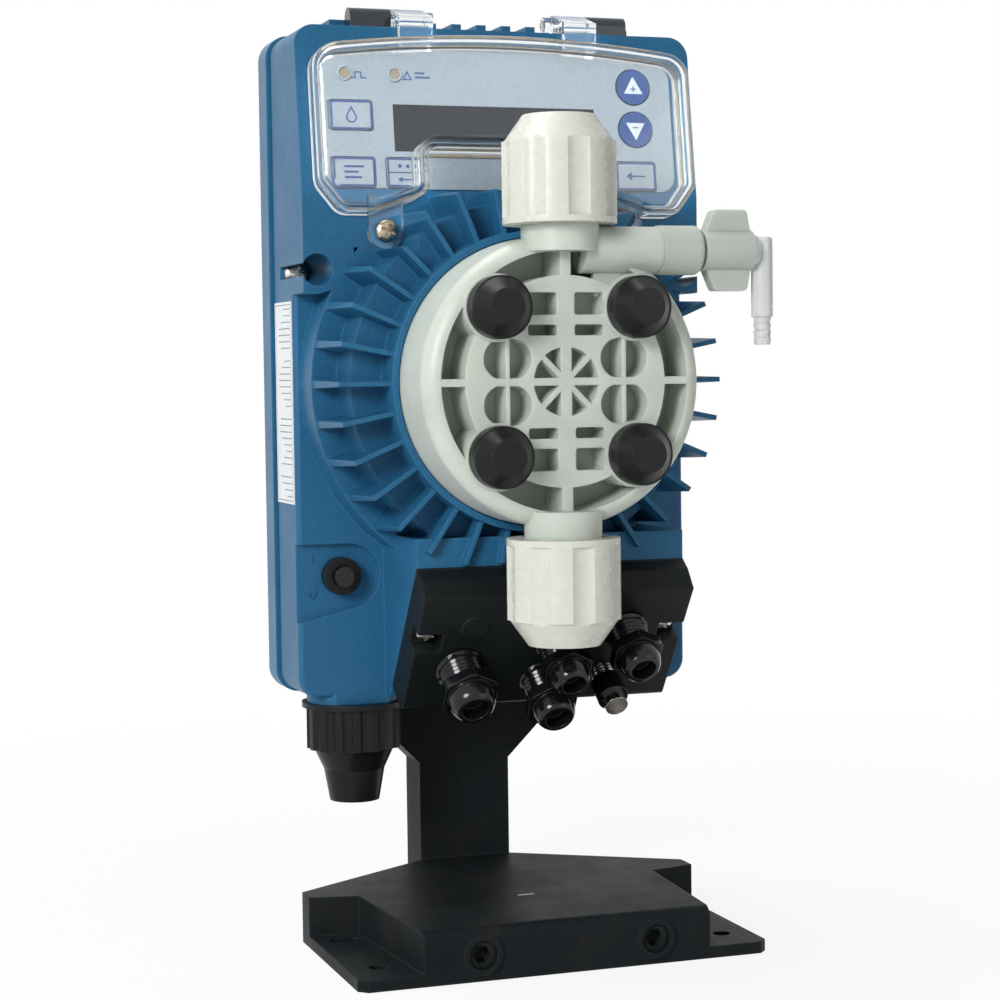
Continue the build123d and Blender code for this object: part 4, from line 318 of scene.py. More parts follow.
bleed_white = milky("bleed_white", (0.46, 0.50, 0.45), radius=(6, 6.2, 5.6), rough=(0.26, 0.36))
tube_clear = milky("tube_clear", (0.82, 0.84, 0.83), weight=0.35, radius=(5, 5, 5), scale=0.0006,
                   rough=(0.18, 0.28), transmission=0.35)
ceramic = milky("ceramic", (0.86, 0.86, 0.84), weight=0.1, rough=(0.08, 0.14))
steel = metal("steel", (0.62, 0.61, 0.58), rough=(0.20, 0.34))
zinc = metal("zinc", (0.72, 0.70, 0.64), rough=(0.16, 0.30), dirt=(0.16, 0.12, 0.07), dirt_amount=0.5)
brassy = metal("brassy", (0.55, 0.46, 0.34), rough=(0.18, 0.32), dirt=(0.10, 0.06, 0.03), dirt_amount=0.55)
nickel = metal("nickel", (0.70, 0.66, 0.60), rough=(0.10, 0.22), dirt=(0.20, 0.16, 0.12), dirt_amount=0.4)
copper = metal("copper", (0.70, 0.32, 0.16), rough=(0.25, 0.4), streak=(1, 30, 1))
cover_clear = clear("cover_clear")
overlay_film = plastic("overlay_film", (0.265, 0.310, 0.352), rough=(0.42, 0.52), vary=0.035, grain=3800,
                       spec=0.25, round_edges=0.0002, cloud=30)
key_film = plastic("key_film", (0.278, 0.322, 0.365), rough=(0.40, 0.50), vary=0.035, grain=3800,
                   spec=0.25, round_edges=0.0002, cloud=30)
key_blue = plastic("key_blue", (0.012, 0.056, 0.215), rough=(0.36, 0.46), vary=0.06, grain=3800,
                   spec=0.4, round_edges=0.0002)
ink_blue = plastic("ink_blue", (0.013, 0.050, 0.200), rough=(0.45, 0.55), grain=4200, bump=0.00001,
                   spec=0.35, round_edges=0.00002)
ink_white = plastic("ink_white", (0.56, 0.61, 0.66), rough=(0.45, 0.55), vary=0.05, grain=4200,
                    bump=0.00001, spec=0.35, round_edges=0.00002)
ink_grey = plastic("ink_grey", (0.22, 0.23, 0.25), rough=(0.5, 0.6), vary=0.25, grain=3000,
                   bump=0.00001, spec=0.3, round_edges=0.00002)
display_glass = plastic("display_glass", (0.0065, 0.0090, 0.0170), rough=(0.06, 0.12), vary=0.15,
                        grain=700, bump=0.000004, spec=0.15, round_edges=0.0003)
lamp_lens = milky("lamp_lens", (0.34, 0.29, 0.20), weight=0.3, rough=(0.14, 0.22), transmission=0.2)
label_paper = plastic("label_paper", (0.78, 0.81, 0.83), rough=(0.28, 0.36), vary=0.03, grain=3000,
                      bump=0.00001, spec=0.45, round_edges=0.0001)
board_green = plastic("board_green", (0.02, 0.12, 0.05), rough=(0.25, 0.4), vary=0.15, grain=900)

nodes_with = (
    (black_foot, ("foot_bracket",)),
    (blue_rear, ("rear_case",)),
    (blue_case, ("front_housing",)),
    (seal_tan, ("case_gasket",)),
    (zinc, ("case_screws", "lid_screws")),
    (barrel_dark, ("hinge_blocks",)),
    (cover_clear, ("hinge_pins", "clear_cover")),
    (brassy, ("cover_screws",)),
    (overlay_film, ("keypad_overlay",)),
    (display_glass, ("display_window",)),
    (key_film, ("key_upper_left", "key_lower_left", "key_lower_middle", "key_lower_right")),
    (key_blue, ("key_up", "key_down")),
    (lamp_lens, ("lamp_lenses",)),
    (board_green, ("circuit_boards",)),
    (label_paper, ("side_label",)),
    (adapter_white, ("adapter_plate",)),
    (seal_rubber, ("head_seal", "valve_washers", "bleed_ring", "lid_seal")),
    (ceramic, ("diaphragm_ring", "diaphragm_disc", "upper_ball", "lower_ball")),
    (head_white, ("pump_head",)),
    (cap_rubber, ("bolt_caps",)),
    (bleed_white, ("valve_seats", "valve_cartridges", "bleed_bonnet", "bleed_knob")),
    (nut_white, ("upper_clamp", "lower_clamp", "upper_union_nut", "lower_union_nut")),
    (tube_clear, ("bleed_elbow",)),
    (black_lid, ("terminal_lid",)),
    (black_gloss, ("gland_bodies", "gland_nuts", "signal_plug_grip", "switch_button")),
    (nickel, ("signal_plug",)),
    (black_nut, ("terminal_block", "inlet_body", "inlet_nut", "inlet_sleeve", "switch_body")),
    (steel, ("bracket_screws", "head_bolts", "magnet_yoke", "plunger", "return_spring", "spring_washer")),
    (copper, ("magnet_coil",)),
)
for material, names in nodes_with:
    for name in names:
        nodes[name].data.materials.clear()
        nodes[name].data.materials.append(material)


# Mesh helpers. A shape is a pair of lists, of vertices and of faces.
CORNER_STEPS = 4


def piece(name, shape, material, body, smooth=False):
    verts, faces = shape
    mesh = bpy.data.meshes.new(name)
    mesh.from_pydata([tuple(v) for v in verts], [], faces)
    mesh.validate()
    mesh.update()
    obj = bpy.data.objects.new(name, mesh)
    scene.collection.objects.link(obj)
    mesh.materials.append(material)
    if smooth:
        mesh.shade_smooth()
    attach(obj, body)
    return obj


def slab(shape, outline, low, high, place):
    verts, faces = shape
    count = len(outline)
    first = len(verts)
    verts.extend(place(x, y, low) for x, y in outline)
    verts.extend(place(x, y, high) for x, y in outline)
    faces.append([first + count + k for k in range(count)])
    faces.append([first + k for k in reversed(range(count))])
    for k in range(count):
        j = (k + 1) % count
        faces.append([first + k, first + j, first + count + j, first + count + k])


def stroke_sides(points, width, closed):
    pts = [Vector(p) for p in points]
    count = len(pts)
    left, right = [], []
    for k, p in enumerate(pts):
        before = pts[k - 1] if (closed or k > 0) else None
        after = pts[(k + 1) % count] if (closed or k < count - 1) else None
        way_in = (p - before).normalized() if before is not None else (after - p).normalized()
        way_out = (after - p).normalized() if after is not None else way_in
        normal_in = Vector((-way_in.y, way_in.x))
        normal_out = Vector((-way_out.y, way_out.x))
        middle = normal_in + normal_out
        middle = middle.normalized() if middle.length > 1e-6 else normal_in
        reach = width / 2 / max(0.35, middle.dot(normal_in))
        left.append(p + middle * reach)
        right.append(p - middle * reach)
    return left, right


def stroke(shape, points, width, low, high, place, closed=False):
    left, right = stroke_sides(points, width, closed)
    count = len(points)
    spans = count if closed else count - 1
    for k in range(spans):
        j = (k + 1) % count
        slab(shape, [right[k], right[j], left[j], left[k]], low, high, place)


def lathe(shape, profile, origin, axis, steps):
    verts, faces = shape
    axis = Vector(axis).normalized()
    side = axis.orthogonal().normalized()
    other = axis.cross(side)
    first = len(verts)
    for r, h in profile:
        for k in range(steps):
            a = 2 * math.pi * k / steps
            spoke = side * math.cos(a) + other * math.sin(a)
            verts.append(Vector(origin) + axis * (h * MM) + spoke * (r * MM))
    for row in range(len(profile) - 1):
        start = first + row * steps
        for k in range(steps):
            j = (k + 1) % steps
            faces.append([start + k, start + j, start + steps + j, start + steps + k])
    last = first + (len(profile) - 1) * steps
    faces.append([first + k for k in reversed(range(steps))])
    faces.append([last + k for k in range(steps)])


def bar(x0, y0, x1, y1):
    return [(x0, y0), (x1, y0), (x1, y1), (x0, y1)]


def rounded_box(cx, cy, w, h, r):
    out = []
    for sx, sy, start in ((1, 1, 0), (-1, 1, 90), (-1, -1, 180), (1, -1, 270)):
        for k in range(CORNER_STEPS + 1):
            a = math.radians(start + 90 * k / CORNER_STEPS)
            x = cx + sx * (w / 2 - r) + r * math.cos(a)
            y = cy + sy * (h / 2 - r) + r * math.sin(a)
            out.append((x, y))
    return out


def circle_points(cx, cy, r, steps):
    angles = [2 * math.pi * k / steps for k in range(steps)]
    return [(cx + r * math.cos(a), cy + r * math.sin(a)) for a in angles]


# The sloped panel, from the middle of its top edge
REAR_Y = 67.2
PANEL_TOP_DEPTH = 43.5
PANEL_TOP_Z = 268.0
PANEL_TILT = math.radians(8)
PANEL_O = Vector((0, (REAR_Y - PANEL_TOP_DEPTH) * MM, PANEL_TOP_Z * MM))
PANEL_N = Vector((0, -math.cos(PANEL_TILT), math.sin(PANEL_TILT)))
PANEL_U = Vector((0, math.sin(PANEL_TILT), math.cos(PANEL_TILT)))


def on_panel(x, y, n=0.0):
    return PANEL_O + Vector((x * MM, 0, 0)) + PANEL_U * (y * MM) + PANEL_N * (n * MM)


# The slanted face of the wiring chest, which carries the terminal lid
CHEST_FRONT_Y = -3.8
CHEST_TOP_Z = 113.6
CHEST_SLANT = math.radians(36)
LID_FACE = 11.5
SLANT_O = Vector((0, CHEST_FRONT_Y * MM, CHEST_TOP_Z * MM))
SLANT_N = Vector((0, -math.cos(CHEST_SLANT), -math.sin(CHEST_SLANT)))
SLANT_U = Vector((0, -math.sin(CHEST_SLANT), math.cos(CHEST_SLANT)))


def on_slant(x, t, n=0.0):
    return SLANT_O + Vector((x * MM, 0, 0)) + SLANT_U * (t * MM) + SLANT_N * (n * MM)


# Legends of the four rectangular keys: a frame and a plain pictogram on each
KEY_TOP = 0.8
FILM = 0.02
PRINT_LOW = KEY_TOP - 0.05
PRINT_TOP = KEY_TOP + FILM
KEY_FRAME = (11.9, 7.9, 0.5)
KEY_FRAME_LINE = 0.55
SIGN_LINE = 0.45
DROP_R = 1.45
DROP_STEPS = 18


def print_area(shape, outline):
    slab(shape, outline, PRINT_LOW, PRINT_TOP, on_panel)


def print_line(shape, points, width, closed=False):
    stroke(shape, points, width, PRINT_LOW, PRINT_TOP, on_panel, closed)


def draw_drop(shape, x, y):
    angles = [math.radians(20 - 220 * k / DROP_STEPS) for k in range(DROP_STEPS + 1)]
    drop = [(x, y + 2.3)]
    drop += [(x + DROP_R * math.cos(a), y - 0.7 + DROP_R * math.sin(a)) for a in angles]
    print_line(shape, drop, SIGN_LINE, True)


def draw_rows(shape, x, y):
    for row, length in ((1.6, 6.0), (0.0, 4.2), (-1.6, 5.2)):
        print_area(shape, bar(x - 3, y + row - 0.3, x - 3 + length, y + row + 0.3))


def draw_dots_and_return(shape, x, y):
    print_area(shape, bar(x - 5.7, y - 0.2, x + 5.7, y + 0.2))
    for dot in (-2.4, 0.0, 2.4):
        print_area(shape, circle_points(x + dot, y + 1.9, 0.6, 18))
    print_line(shape, [(x + 2.4, y - 0.9), (x + 2.4, y - 2.1), (x - 2.2, y - 2.1)], SIGN_LINE)
    print_area(shape, [(x - 3.2, y - 2.1), (x - 1.8, y - 3.0), (x - 1.8, y - 1.2)])


def draw_back(shape, x, y):
    print_line(shape, [(x + 3.0, y), (x - 1.6, y)], 0.5)
    print_area(shape, [(x - 3.2, y), (x - 1.4, y - 1.3), (x - 1.4, y + 1.3)])


for key, x, y, draw in (
    ("key_upper_left", -46.2, -24.0, draw_drop),
    ("key_lower_left", -46.2, -40.8, draw_rows),
    ("key_lower_middle", -30.0, -40.8, draw_dots_and_return),
    ("key_lower_right", 41.8, -40.8, draw_back),
):
    legend = ([], [])
    print_line(legend, rounded_box(x, y, *KEY_FRAME), KEY_FRAME_LINE, True)
    draw(legend, x, y)
    piece("legend_" + key[4:], legend, ink_blue, key)

# Arrows on the two round keys, with a plus and a minus sign
ARROW_KEY_X = 42.6
ARROW_R = 3.5
SIGN_ARM = 0.95
SIGN_HALF = 0.17
SIGN_TOP = KEY_TOP + 2 * FILM
for key, y, way in (("key_up", -13.4, 1), ("key_down", -26.4, -1)):
    x = ARROW_KEY_X
    corners = []
    for a in (90, 210, 330):
        angle = math.radians(a)
        corners.append((x + ARROW_R * math.cos(angle), y - way * 0.25 + way * ARROW_R * math.sin(angle)))
    if way < 0:
        corners.reverse()
    arrow = ([], [])
    print_area(arrow, corners)
    piece("arrow_" + key[4:], arrow, ink_white, key)
    sign = ([], [])
    cy = y - way * 0.55
    slab(sign, bar(x - SIGN_ARM, cy - SIGN_HALF, x + SIGN_ARM, cy + SIGN_HALF), KEY_TOP, SIGN_TOP, on_panel)
    if way > 0:
        slab(sign, bar(x - SIGN_HALF, cy - SIGN_ARM, x + SIGN_HALF, cy + SIGN_ARM), KEY_TOP, SIGN_TOP, on_panel)
    piece("sign_" + key[4:], sign, ink_blue, key)

# Signs beside the two lamps: a pulse, and a triangle with two bars
LAMP_PRINT_LOW = 0.45
LAMP_PRINT_TOP = 0.5 + FILM
LAMP_LINE = 0.42
PULSE = [(-45.6, -12.9), (-44.4, -12.9), (-44.4, -11.2), (-42.6, -11.2), (-42.6, -12.9), (-40.9, -12.9)]
TRIANGLE = [(-29.8, -13.0), (-27.4, -13.0), (-28.6, -10.7)]
signs = ([], [])
stroke(signs, PULSE, LAMP_LINE, LAMP_PRINT_LOW, LAMP_PRINT_TOP, on_panel)
stroke(signs, TRIANGLE, LAMP_LINE, LAMP_PRINT_LOW, LAMP_PRINT_TOP, on_panel, True)
slab(signs, bar(-26.2, -12.6, -21.6, -12.0), LAMP_PRINT_LOW, LAMP_PRINT_TOP, on_panel)
slab(signs, bar(-26.2, -11.3, -23.2, -10.7), LAMP_PRINT_LOW, LAMP_PRINT_TOP, on_panel)
piece("lamp_signs", signs, ink_blue, MAIN_BODY)

LAMP_Y = -11.6
LAMP_RING = [(2.35, 0.45), (2.35, 0.75), (2.05, 1.0), (1.62, 1.0), (1.55, 0.7), (1.55, 0.45)]
for k, x in enumerate((-47.6, -32.4)):
    ring = ([], [])
    lathe(ring, LAMP_RING, on_panel(x, LAMP_Y), PANEL_N, 36)
    piece(f"lamp_ring_{k + 1}", ring, overlay_film, MAIN_BODY, True)


# Screws with domed heads and cross recesses
SCREW_STEPS = 40
SCREW_FIRST_TURN = 0.4
SCREW_NEXT_TURN = 0.9
LATCH_SCREW = {"r": 3.4, "height": 2.4, "shank_r": 1.4, "shank": 6.0, "dome": 0.6}
LID_SCREW = {"r": 3.1, "height": 2.2, "shank_r": 1.4, "shank": 6.0, "dome": 0.7}
SIDE_SCREW = {"r": 3.3, "height": 1.3, "shank_r": 1.2, "shank": 0.8, "dome": 0.8}


def screw_profile(r, height, shank_r, shank, dome):
    edge = height * (1 - dome)
    profile = [(shank_r, -shank), (shank_r, 0.0), (r, 0.0), (r, edge)]
    for k in range(1, 7):
        a = math.radians(15 * k)
        profile.append((max(r * math.cos(a), 0.02), edge + height * dome * math.sin(a)))
    return profile


def cross_outline(r):
    arm, half = r * 0.62, r * 0.13
    return [(half, half), (half, arm), (-half, arm), (-half, half), (-arm, half), (-arm, -half),
            (-half, -half), (-half, -arm), (half, -arm), (half, -half), (arm, -half), (arm, half)]


def loose_object(name, shape):
    verts, faces = shape
    mesh = bpy.data.meshes.new(name)
    mesh.from_pydata([tuple(v) for v in verts], [], faces)
    obj = bpy.data.objects.new(name, mesh)
    scene.collection.objects.link(obj)
    return obj


def cut_mesh(obj, cutter):
    mod = obj.modifiers.new("cut", "BOOLEAN")
    mod.operation = "DIFFERENCE"
    mod.solver = "EXACT"
    mod.object = cutter
    bpy.context.view_layer.update()
    mesh = bpy.data.meshes.new_from_object(obj.evaluated_get(bpy.context.evaluated_depsgraph_get()))
    bpy.data.objects.remove(obj)
    bpy.data.objects.remove(cutter)
    return mesh


def one_screw(spot, axis, turn, screw):
    side = axis.orthogonal().normalized()
    other = axis.cross(side)
    u = side * math.cos(turn) + other * math.sin(turn)
    w = axis.cross(u)

    def in_head(x, y, n):
        return Vector(spot) + (u * x + w * y + axis * n) * MM

    body = ([], [])
    lathe(body, screw_profile(**screw), spot, axis, SCREW_STEPS)
    recess = ([], [])
    slab(recess, cross_outline(screw["r"]), screw["height"] * 0.28, screw["height"] * 1.6, in_head)
    return cut_mesh(loose_object("screw_tmp", body), loose_object("cut_tmp", recess))


def cross_screws(name, spots, axis, screw, material, body):
    joined = bmesh.new()
    for index, spot in enumerate(spots):
        turn = SCREW_FIRST_TURN + index * SCREW_NEXT_TURN
        joined.from_mesh(one_screw(spot, Vector(axis).normalized(), turn, screw))
    mesh = bpy.data.meshes.new(name)
    joined.to_mesh(mesh)
    joined.free()
    obj = bpy.data.objects.new(name, mesh)
    scene.collection.objects.link(obj)
    mesh.materials.append(material)
    mesh.shade_smooth()
    mesh.set_sharp_from_angle(angle=math.radians(35))
    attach(obj, body)
    return obj


LATCH_X = 37.5
LID_SCREW_X = (-31.1, 42.6)
LID_SCREW_T = -18.6
LID_SCREW_SINK = 5.5
LID_SCREW_LIFT = 0.3
SIDE_SCREW_X = 57.6
SIDE_SCREW_Z = 199.6
SIDE_SCREW_DEPTH = 24.6
screw_low, screw_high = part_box("cover_screws")
latch_y = screw_low[1] + LATCH_SCREW["height"] * MM
latch_z = (screw_low[2] + screw_high[2]) / 2
latch_spots = [Vector((sx * LATCH_X * MM, latch_y, latch_z)) for sx in (-1, 1)]
latch_heads = cross_screws("cover_screw_heads", latch_spots, FRONT, LATCH_SCREW, brassy, "cover")
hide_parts("cover_screws")
lid_seat = LID_FACE - LID_SCREW_SINK + LID_SCREW_LIFT
lid_spots = [on_slant(x, LID_SCREW_T, lid_seat) for x in LID_SCREW_X]
lid_heads = cross_screws("lid_screw_heads", lid_spots, SLANT_N, LID_SCREW, zinc, MAIN_BODY)
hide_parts("lid_screws")
side_y = (REAR_Y - SIDE_SCREW_DEPTH) * MM
side_spots = [Vector((sx * SIDE_SCREW_X * MM, side_y, SIDE_SCREW_Z * MM)) for sx in (-1, 1)]
cross_screws("side_screw_heads", side_spots, FRONT, SIDE_SCREW, zinc, MAIN_BODY)

# Seal under the rim of the clear cover
ROUND_STEPS = 5
RIM_HALF = 57.7
RIM_INNER = 42.4
RIM_OUTER = 51.6
RIM_NOTCH = 26.4
RIM = [
    (-RIM_HALF, -5.4), (-29, -2.6), (0, -1.7), (29, -2.6), (RIM_HALF, -5.4), (RIM_HALF, -44.6),
    (RIM_OUTER, -52.6), (RIM_INNER, -52.6), (RIM_NOTCH, -47.2), (RIM_NOTCH, -35.5),
    (-RIM_NOTCH, -35.5), (-RIM_NOTCH, -47.2), (-RIM_INNER, -52.6), (-RIM_OUTER, -52.6), (-RIM_HALF, -44.6),
]
RIM_RADII = [6, 6, 6, 6, 6, 4, 3, 3, 3, 3, 3, 3, 3, 3, 4]


def rounded_line(points, radii):
    out = []
    count = len(points)
    for k in range(count):
        p = Vector(points[k])
        a = (Vector(points[k - 1]) - p).normalized()
        b = (Vector(points[(k + 1) % count]) - p).normalized()
        reach = radii[k] * (1 - abs(a.dot(b))) ** 0.5
        start, end = p + a * reach, p + b * reach
        for n in range(ROUND_STEPS + 1):
            f = n / ROUND_STEPS
            out.append(start * (1 - f) ** 2 + p * 2 * f * (1 - f) + end * f * f)
    return out


seal = ([], [])
stroke(seal, rounded_line(RIM, RIM_RADII), 0.9, 0.25, 0.95, on_panel, True)
piece("cover_seal", seal, seal_tan, "cover")

# Six-sided sockets in the two front bosses of the foot
BOSS_SPOT = (26, -31.4, 7.4)
BOSS_HOLE_R = 4.15
SOCKET_R = 2.7
SOCKET_STEPS = 48
SOCKET_SIDE_STEPS = SOCKET_STEPS // 6
SOCKET_LEVELS = (-5.6, -5.0, -1.6)


def hexagon_point(step, side):
    corners = [(SOCKET_R * math.cos(math.radians(60 * j)), SOCKET_R * math.sin(math.radians(60 * j)))
               for j in range(6)]
    return Vector(corners[side % 6]).lerp(Vector(corners[(side + 1) % 6]), step / SOCKET_SIDE_STEPS - side)


def boss_socket(spot):
    def on_boss(x, y, n):
        return spot + Vector((x * MM, -n * MM, y * MM))

    shape = ([], [])
    floor_low, floor_high, mouth = SOCKET_LEVELS
    ring = circle_points(0, 0, BOSS_HOLE_R, SOCKET_STEPS)
    for j in range(SOCKET_STEPS):
        side = j // SOCKET_SIDE_STEPS
        a = hexagon_point(j, side)
        b = hexagon_point(j + 1, side)
        slab(shape, [a, ring[j], ring[(j + 1) % SOCKET_STEPS], b], floor_high, mouth, on_boss)
    slab(shape, ring, floor_low, floor_high, on_boss)
    return shape


for k, sx in enumerate((-1, 1)):
    spot = Vector((sx * BOSS_SPOT[0] * MM, BOSS_SPOT[1] * MM, BOSS_SPOT[2] * MM))
    piece(f"boss_socket_{k + 1}", boss_socket(spot), black_foot, MAIN_BODY)

# Slot in the top of the foot, drawn as a thin dark glossy sheet: painted shade in place of the recess
FOOT_TOP_Z = 15.0


def on_foot(x, y, n):
    return Vector((x * MM, y * MM, (FOOT_TOP_Z + n) * MM))


foot_slot_shade = ([], [])
slab(foot_slot_shade, rounded_box(-0.7, 4.6, 5.3, 1.5, 0.7), 0.0, 0.03, on_foot)
piece("foot_slot_shade", foot_slot_shade, black_gloss, MAIN_BODY)

# Cable glands: threads, six-sided collars and domes. Each row is a place on the lid and a radius.
GLANDS = ((-20.6, -28.4, 7.2), (5.6, -34.2, 6.6), (7.8, -21.0, 6.2), (28.4, -16.6, 6.6))
GLAND_STEPS = 40
GLAND_TURNS = 5
GLAND_PITCH = 1.5
DOME_BASE = 13.0
DOME_HEIGHT = 5.4
FLAT_LEVELS = (9.4, 12.8)
FLAT_TURN = 12


def gland_thread(r):
    profile = [(r * 0.9, 0.0), (r * 1.02, 0.0), (r * 1.02, 1.4)]
    for turn in range(GLAND_TURNS):
        h = 1.6 + turn * GLAND_PITCH
        profile += [(r * 0.76, h), (r * 0.90, h + 0.55), (r * 0.90, h + 0.75), (r * 0.76, h + 1.3)]
    return profile + [(r * 0.74, 9.3), (r * 0.62, 9.3)]


def gland_dome(r):
    profile = [(r * 0.80, 9.2), (r * 0.98, 9.2), (r * 1.0, 9.6), (r * 1.0, 12.6), (r * 0.98, DOME_BASE)]
    for k in range(7):
        a = math.radians(12 * k)
        profile.append((r * (0.60 + 0.36 * math.cos(a)), DOME_BASE + DOME_HEIGHT * math.sin(a)))
    return profile + [(r * 0.56, 18.2), (r * 0.52, 17.4), (r * 0.50, 14.0)]


def add_collar_flat(shape, base, radius, turn):
    verts, faces = shape
    side = SLANT_N.orthogonal().normalized()
    other = SLANT_N.cross(side)
    out_dir = side * math.cos(turn) + other * math.sin(turn)
    along = SLANT_N.cross(out_dir)
    w = radius * 0.60
    first = len(verts)
    for n in FLAT_LEVELS:
        for r, t in ((0.86, -w), (0.86, w), (1.09, w * 0.94), (1.09, -w * 0.94)):
            verts.append(base + SLANT_N * (n * MM) + out_dir * (radius * r * MM) + along * (t * MM))
    for corners in ((3, 2, 1, 0), (4, 5, 6, 7), (0, 1, 5, 4), (1, 2, 6, 5), (2, 3, 7, 6), (3, 0, 4, 7)):
        faces.append([first + c for c in corners])


threads = ([], [])
for x, t, r in GLANDS:
    lathe(threads, gland_thread(r), on_slant(x, t, LID_FACE), SLANT_N, GLAND_STEPS)
piece("gland_threads", threads, black_gloss, MAIN_BODY, True)
dome_shape = ([], [])
for x, t, r in GLANDS:
    base = on_slant(x, t, LID_FACE)
    lathe(dome_shape, gland_dome(r), base, SLANT_N, GLAND_STEPS)
    for j in range(6):
        add_collar_flat(dome_shape, base, r, math.radians(60 * j + FLAT_TURN))
domes = piece("gland_domes", dome_shape, black_gloss, MAIN_BODY, True)
domes.data.set_sharp_from_angle(angle=math.radians(32))
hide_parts("gland_nuts")

# Thread of the round connector
PLUG_PLACE = (24.6, -33.0)
PLUG_TURNS = 4
PLUG_PITCH = 1.1
profile = [(3.4, 0.3)]
for turn in range(PLUG_TURNS):
    h = 0.4 + turn * PLUG_PITCH
    profile += [(3.6, h), (3.95, h + 0.35), (3.95, h + 0.55), (3.6, h + 0.9)]
profile += [(3.4, 4.9)]
plug_thread = ([], [])
lathe(plug_thread, profile, on_slant(*PLUG_PLACE, LID_FACE), SLANT_N, 40)
piece("plug_thread", plug_thread, nickel, MAIN_BODY, True)

# Print on the side label: bare bars in a frame, with gaps between groups
LABEL_ROWS = 30
LABEL_INK = 0.012
label_low, label_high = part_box("side_label")
label_y0, label_z0 = label_low[1] / MM, label_low[2] / MM
label_y1, label_z1 = label_high[1] / MM, label_high[2] / MM


def on_label(x, y, n):
    return Vector((label_low[0] - n * MM, x * MM, y * MM))


label = ([], [])
for k in range(LABEL_ROWS):
    if k % 9 == 4:
        continue
    z = label_z0 + 2.2 + (label_z1 - label_z0 - 4.4) * k / (LABEL_ROWS - 1)
    share = 0.35 + 0.5 * abs(math.sin(k * 2.7))
    start = label_y0 + 1.6
    row = bar(start, z - 0.15, start + (label_y1 - label_y0 - 3.2) * share, z + 0.15)
    slab(label, row, 0.0, LABEL_INK, on_label)
label_frame = bar(label_y0 + 1.0, label_z0 + 0.9, label_y1 - 1.0, label_z1 - 0.9)
stroke(label, label_frame, 0.25, 0.0, LABEL_INK, on_label, True)
piece("label_print", label, ink_grey, MAIN_BODY)

# Raised marks for on and off beside the mains switch
POCKET_Y = 32.1
MARK_LEVELS = (-0.1, 0.18)


def on_pocket(x, y, n):
    return Vector((x * MM, (POCKET_Y - n) * MM, y * MM))


marks = ([], [])
off_mark = []
for k in range(18):
    a = math.radians(20 * k)
    off_mark.append((-56.9 + 1.0 * math.cos(a), 104.4 + 1.4 * math.sin(a)))
slab(marks, bar(-57.2, 113.2, -56.6, 116.0), *MARK_LEVELS, on_pocket)
stroke(marks, off_mark, 0.5, *MARK_LEVELS, on_pocket, True)
piece("switch_marks", marks, blue_case, MAIN_BODY)

# Web between the bleed branch and the head
WEB_Y = -28.8
WEB_HALF = 1.3
WEB_OUTLINE = [(9.5, 199.0), (9.5, 190.0), (15.0, 190.5), (25.0, 195.2), (28.5, 197.4), (28.5, 199.0)]


def on_web(x, z, n):
    return Vector((x * MM, (WEB_Y - n) * MM, z * MM))


web = ([], [])
slab(web, WEB_OUTLINE, -WEB_HALF, WEB_HALF, on_web)
piece("branch_web", web, bleed_white, MAIN_BODY)


# World, lamps and floor. The surround is white to the camera, in mirrors and through clear plastic.
SOFT_LIGHT = 0.13
WHITE = (1, 1, 1, 1)
FLOOR_GREY = (0.90, 0.90, 0.90, 1)
FLOOR_HALF_M = 9
FLOOR_DROP_M = -0.0002
FLOOR_FADE_M = (0.05, 0.55)
FLOOR_WHITENESS = (0.88, 1.0)
LAMP_TARGETS_M = {"body": (0, 0, 0.16), "top": (0, 0, 0.18)}


def seen_directly(tree):
    path = tree.nodes.new("ShaderNodeLightPath")
    total = path.outputs["Is Camera Ray"]
    for kind in ("Is Glossy Ray", "Is Transmission Ray"):
        larger = tree.nodes.new("ShaderNodeMath")
        larger.operation = "MAXIMUM"
        link(tree, total, larger.inputs[0])
        link(tree, path.outputs[kind], larger.inputs[1])
        total = larger.outputs[0]
    return total


def add_background(tree, strength):
    background = tree.nodes.new("ShaderNodeBackground")
    background.inputs[0].default_value = WHITE
    background.inputs[1].default_value = strength
    return background.outputs[0]


def add_world():
    world = bpy.data.worlds.new("studio")
    scene.world = world
    world.use_nodes = True
    tree = world.node_tree
    tree.nodes.clear()
    out = tree.nodes.new("ShaderNodeOutputWorld")
    mixer = tree.nodes.new("ShaderNodeMixShader")
    link(tree, seen_directly(tree), mixer.inputs[0])
    link(tree, add_background(tree, SOFT_LIGHT), mixer.inputs[1])
    link(tree, add_background(tree, 1.0), mixer.inputs[2])
    link(tree, mixer.outputs[0], out.inputs[0])


def add_lamp(name, place, target, size, energy):
    data = bpy.data.lights.new(name, "AREA")
    data.shape = "DISK"
    data.size = size
    data.energy = energy
    obj = bpy.data.objects.new(name, data)
    scene.collection.objects.link(obj)
    obj.location = place
    obj.rotation_mode = "QUATERNION"
    obj.rotation_quaternion = (Vector(target) - Vector(place)).to_track_quat("-Z", "Y")


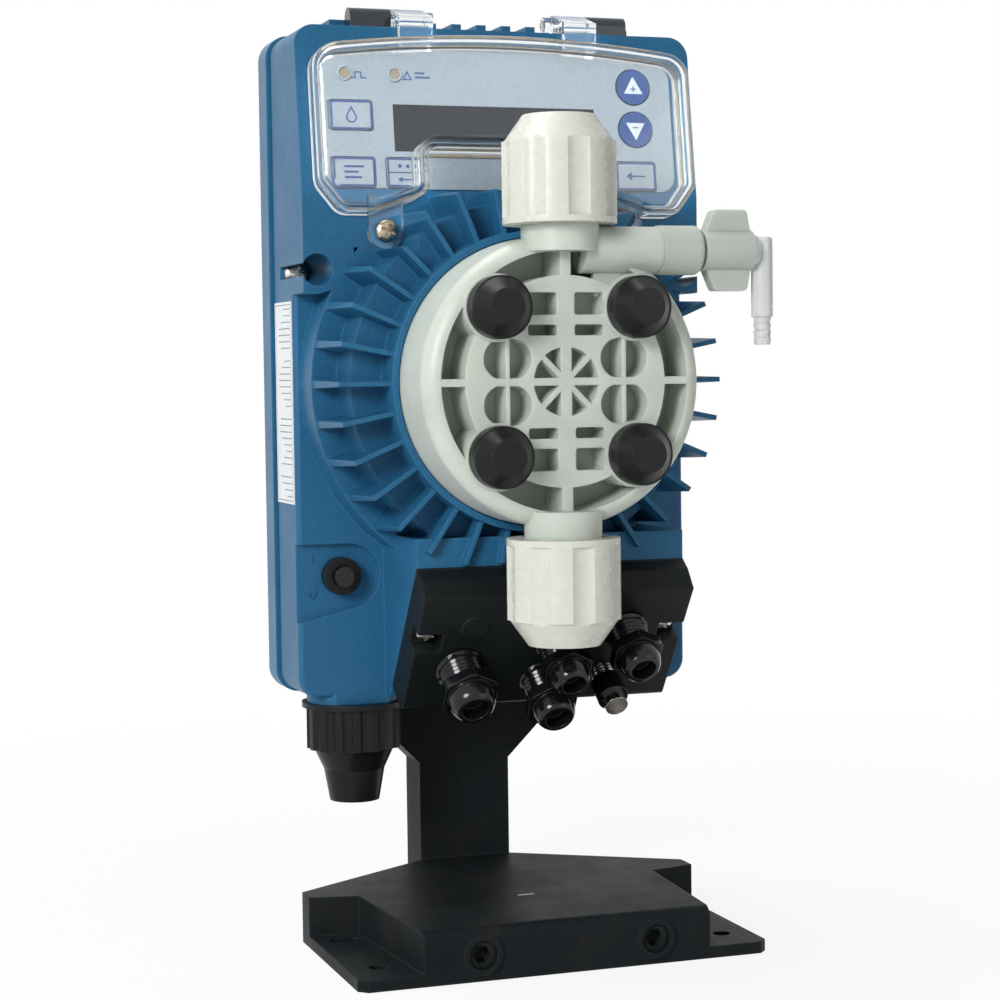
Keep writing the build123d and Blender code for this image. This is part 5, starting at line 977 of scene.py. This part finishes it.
def floor_whiteness(tree):
    geo = tree.nodes.new("ShaderNodeNewGeometry")
    distance = tree.nodes.new("ShaderNodeVectorMath")
    distance.operation = "LENGTH"
    fade = tree.nodes.new("ShaderNodeMapRange")
    fade.interpolation_type = "SMOOTHSTEP"
    fade.inputs["From Min"].default_value = FLOOR_FADE_M[0]
    fade.inputs["From Max"].default_value = FLOOR_FADE_M[1]
    fade.inputs["To Min"].default_value = FLOOR_WHITENESS[0]
    fade.inputs["To Max"].default_value = FLOOR_WHITENESS[1]
    product = tree.nodes.new("ShaderNodeMath")
    product.operation = "MULTIPLY"
    link(tree, geo.outputs["Position"], distance.inputs[0])
    link(tree, distance.outputs["Value"], fade.inputs["Value"])
    link(tree, seen_directly(tree), product.inputs[0])
    link(tree, fade.outputs[0], product.inputs[1])
    return product.outputs[0]


def floor_material():
    mat, tree, bsdf, out = new_material("floor_white")
    bsdf.inputs["Base Color"].default_value = FLOOR_GREY
    bsdf.inputs["Roughness"].default_value = 0.9
    bsdf.inputs["Specular IOR Level"].default_value = 0.1
    glow = tree.nodes.new("ShaderNodeEmission")
    glow.inputs[0].default_value = WHITE
    glow.inputs[1].default_value = 1.0
    mixer = tree.nodes.new("ShaderNodeMixShader")
    link(tree, floor_whiteness(tree), mixer.inputs[0])
    link(tree, bsdf.outputs[0], mixer.inputs[1])
    link(tree, glow.outputs[0], mixer.inputs[2])
    link(tree, mixer.outputs[0], out.inputs[0])
    return mat


def add_floor():
    mesh = bpy.data.meshes.new("floor")
    mesh.from_pydata([(x, y, 0) for x, y in bar(-FLOOR_HALF_M, -FLOOR_HALF_M, FLOOR_HALF_M, FLOOR_HALF_M)],
                     [], [(0, 1, 2, 3)])
    floor = bpy.data.objects.new("floor", mesh)
    scene.collection.objects.link(floor)
    floor.location = (0, 0, FLOOR_DROP_M)
    mesh.materials.append(floor_material())


add_world()
add_lamp("key", (-1.25, -1.15, 0.75), LAMP_TARGETS_M["body"], 0.7, 25)
add_lamp("fill", (0.85, -1.25, 0.40), LAMP_TARGETS_M["body"], 0.9, 1.5)
add_lamp("top", (-0.25, 0.25, 1.35), LAMP_TARGETS_M["top"], 0.8, 9)
add_floor()
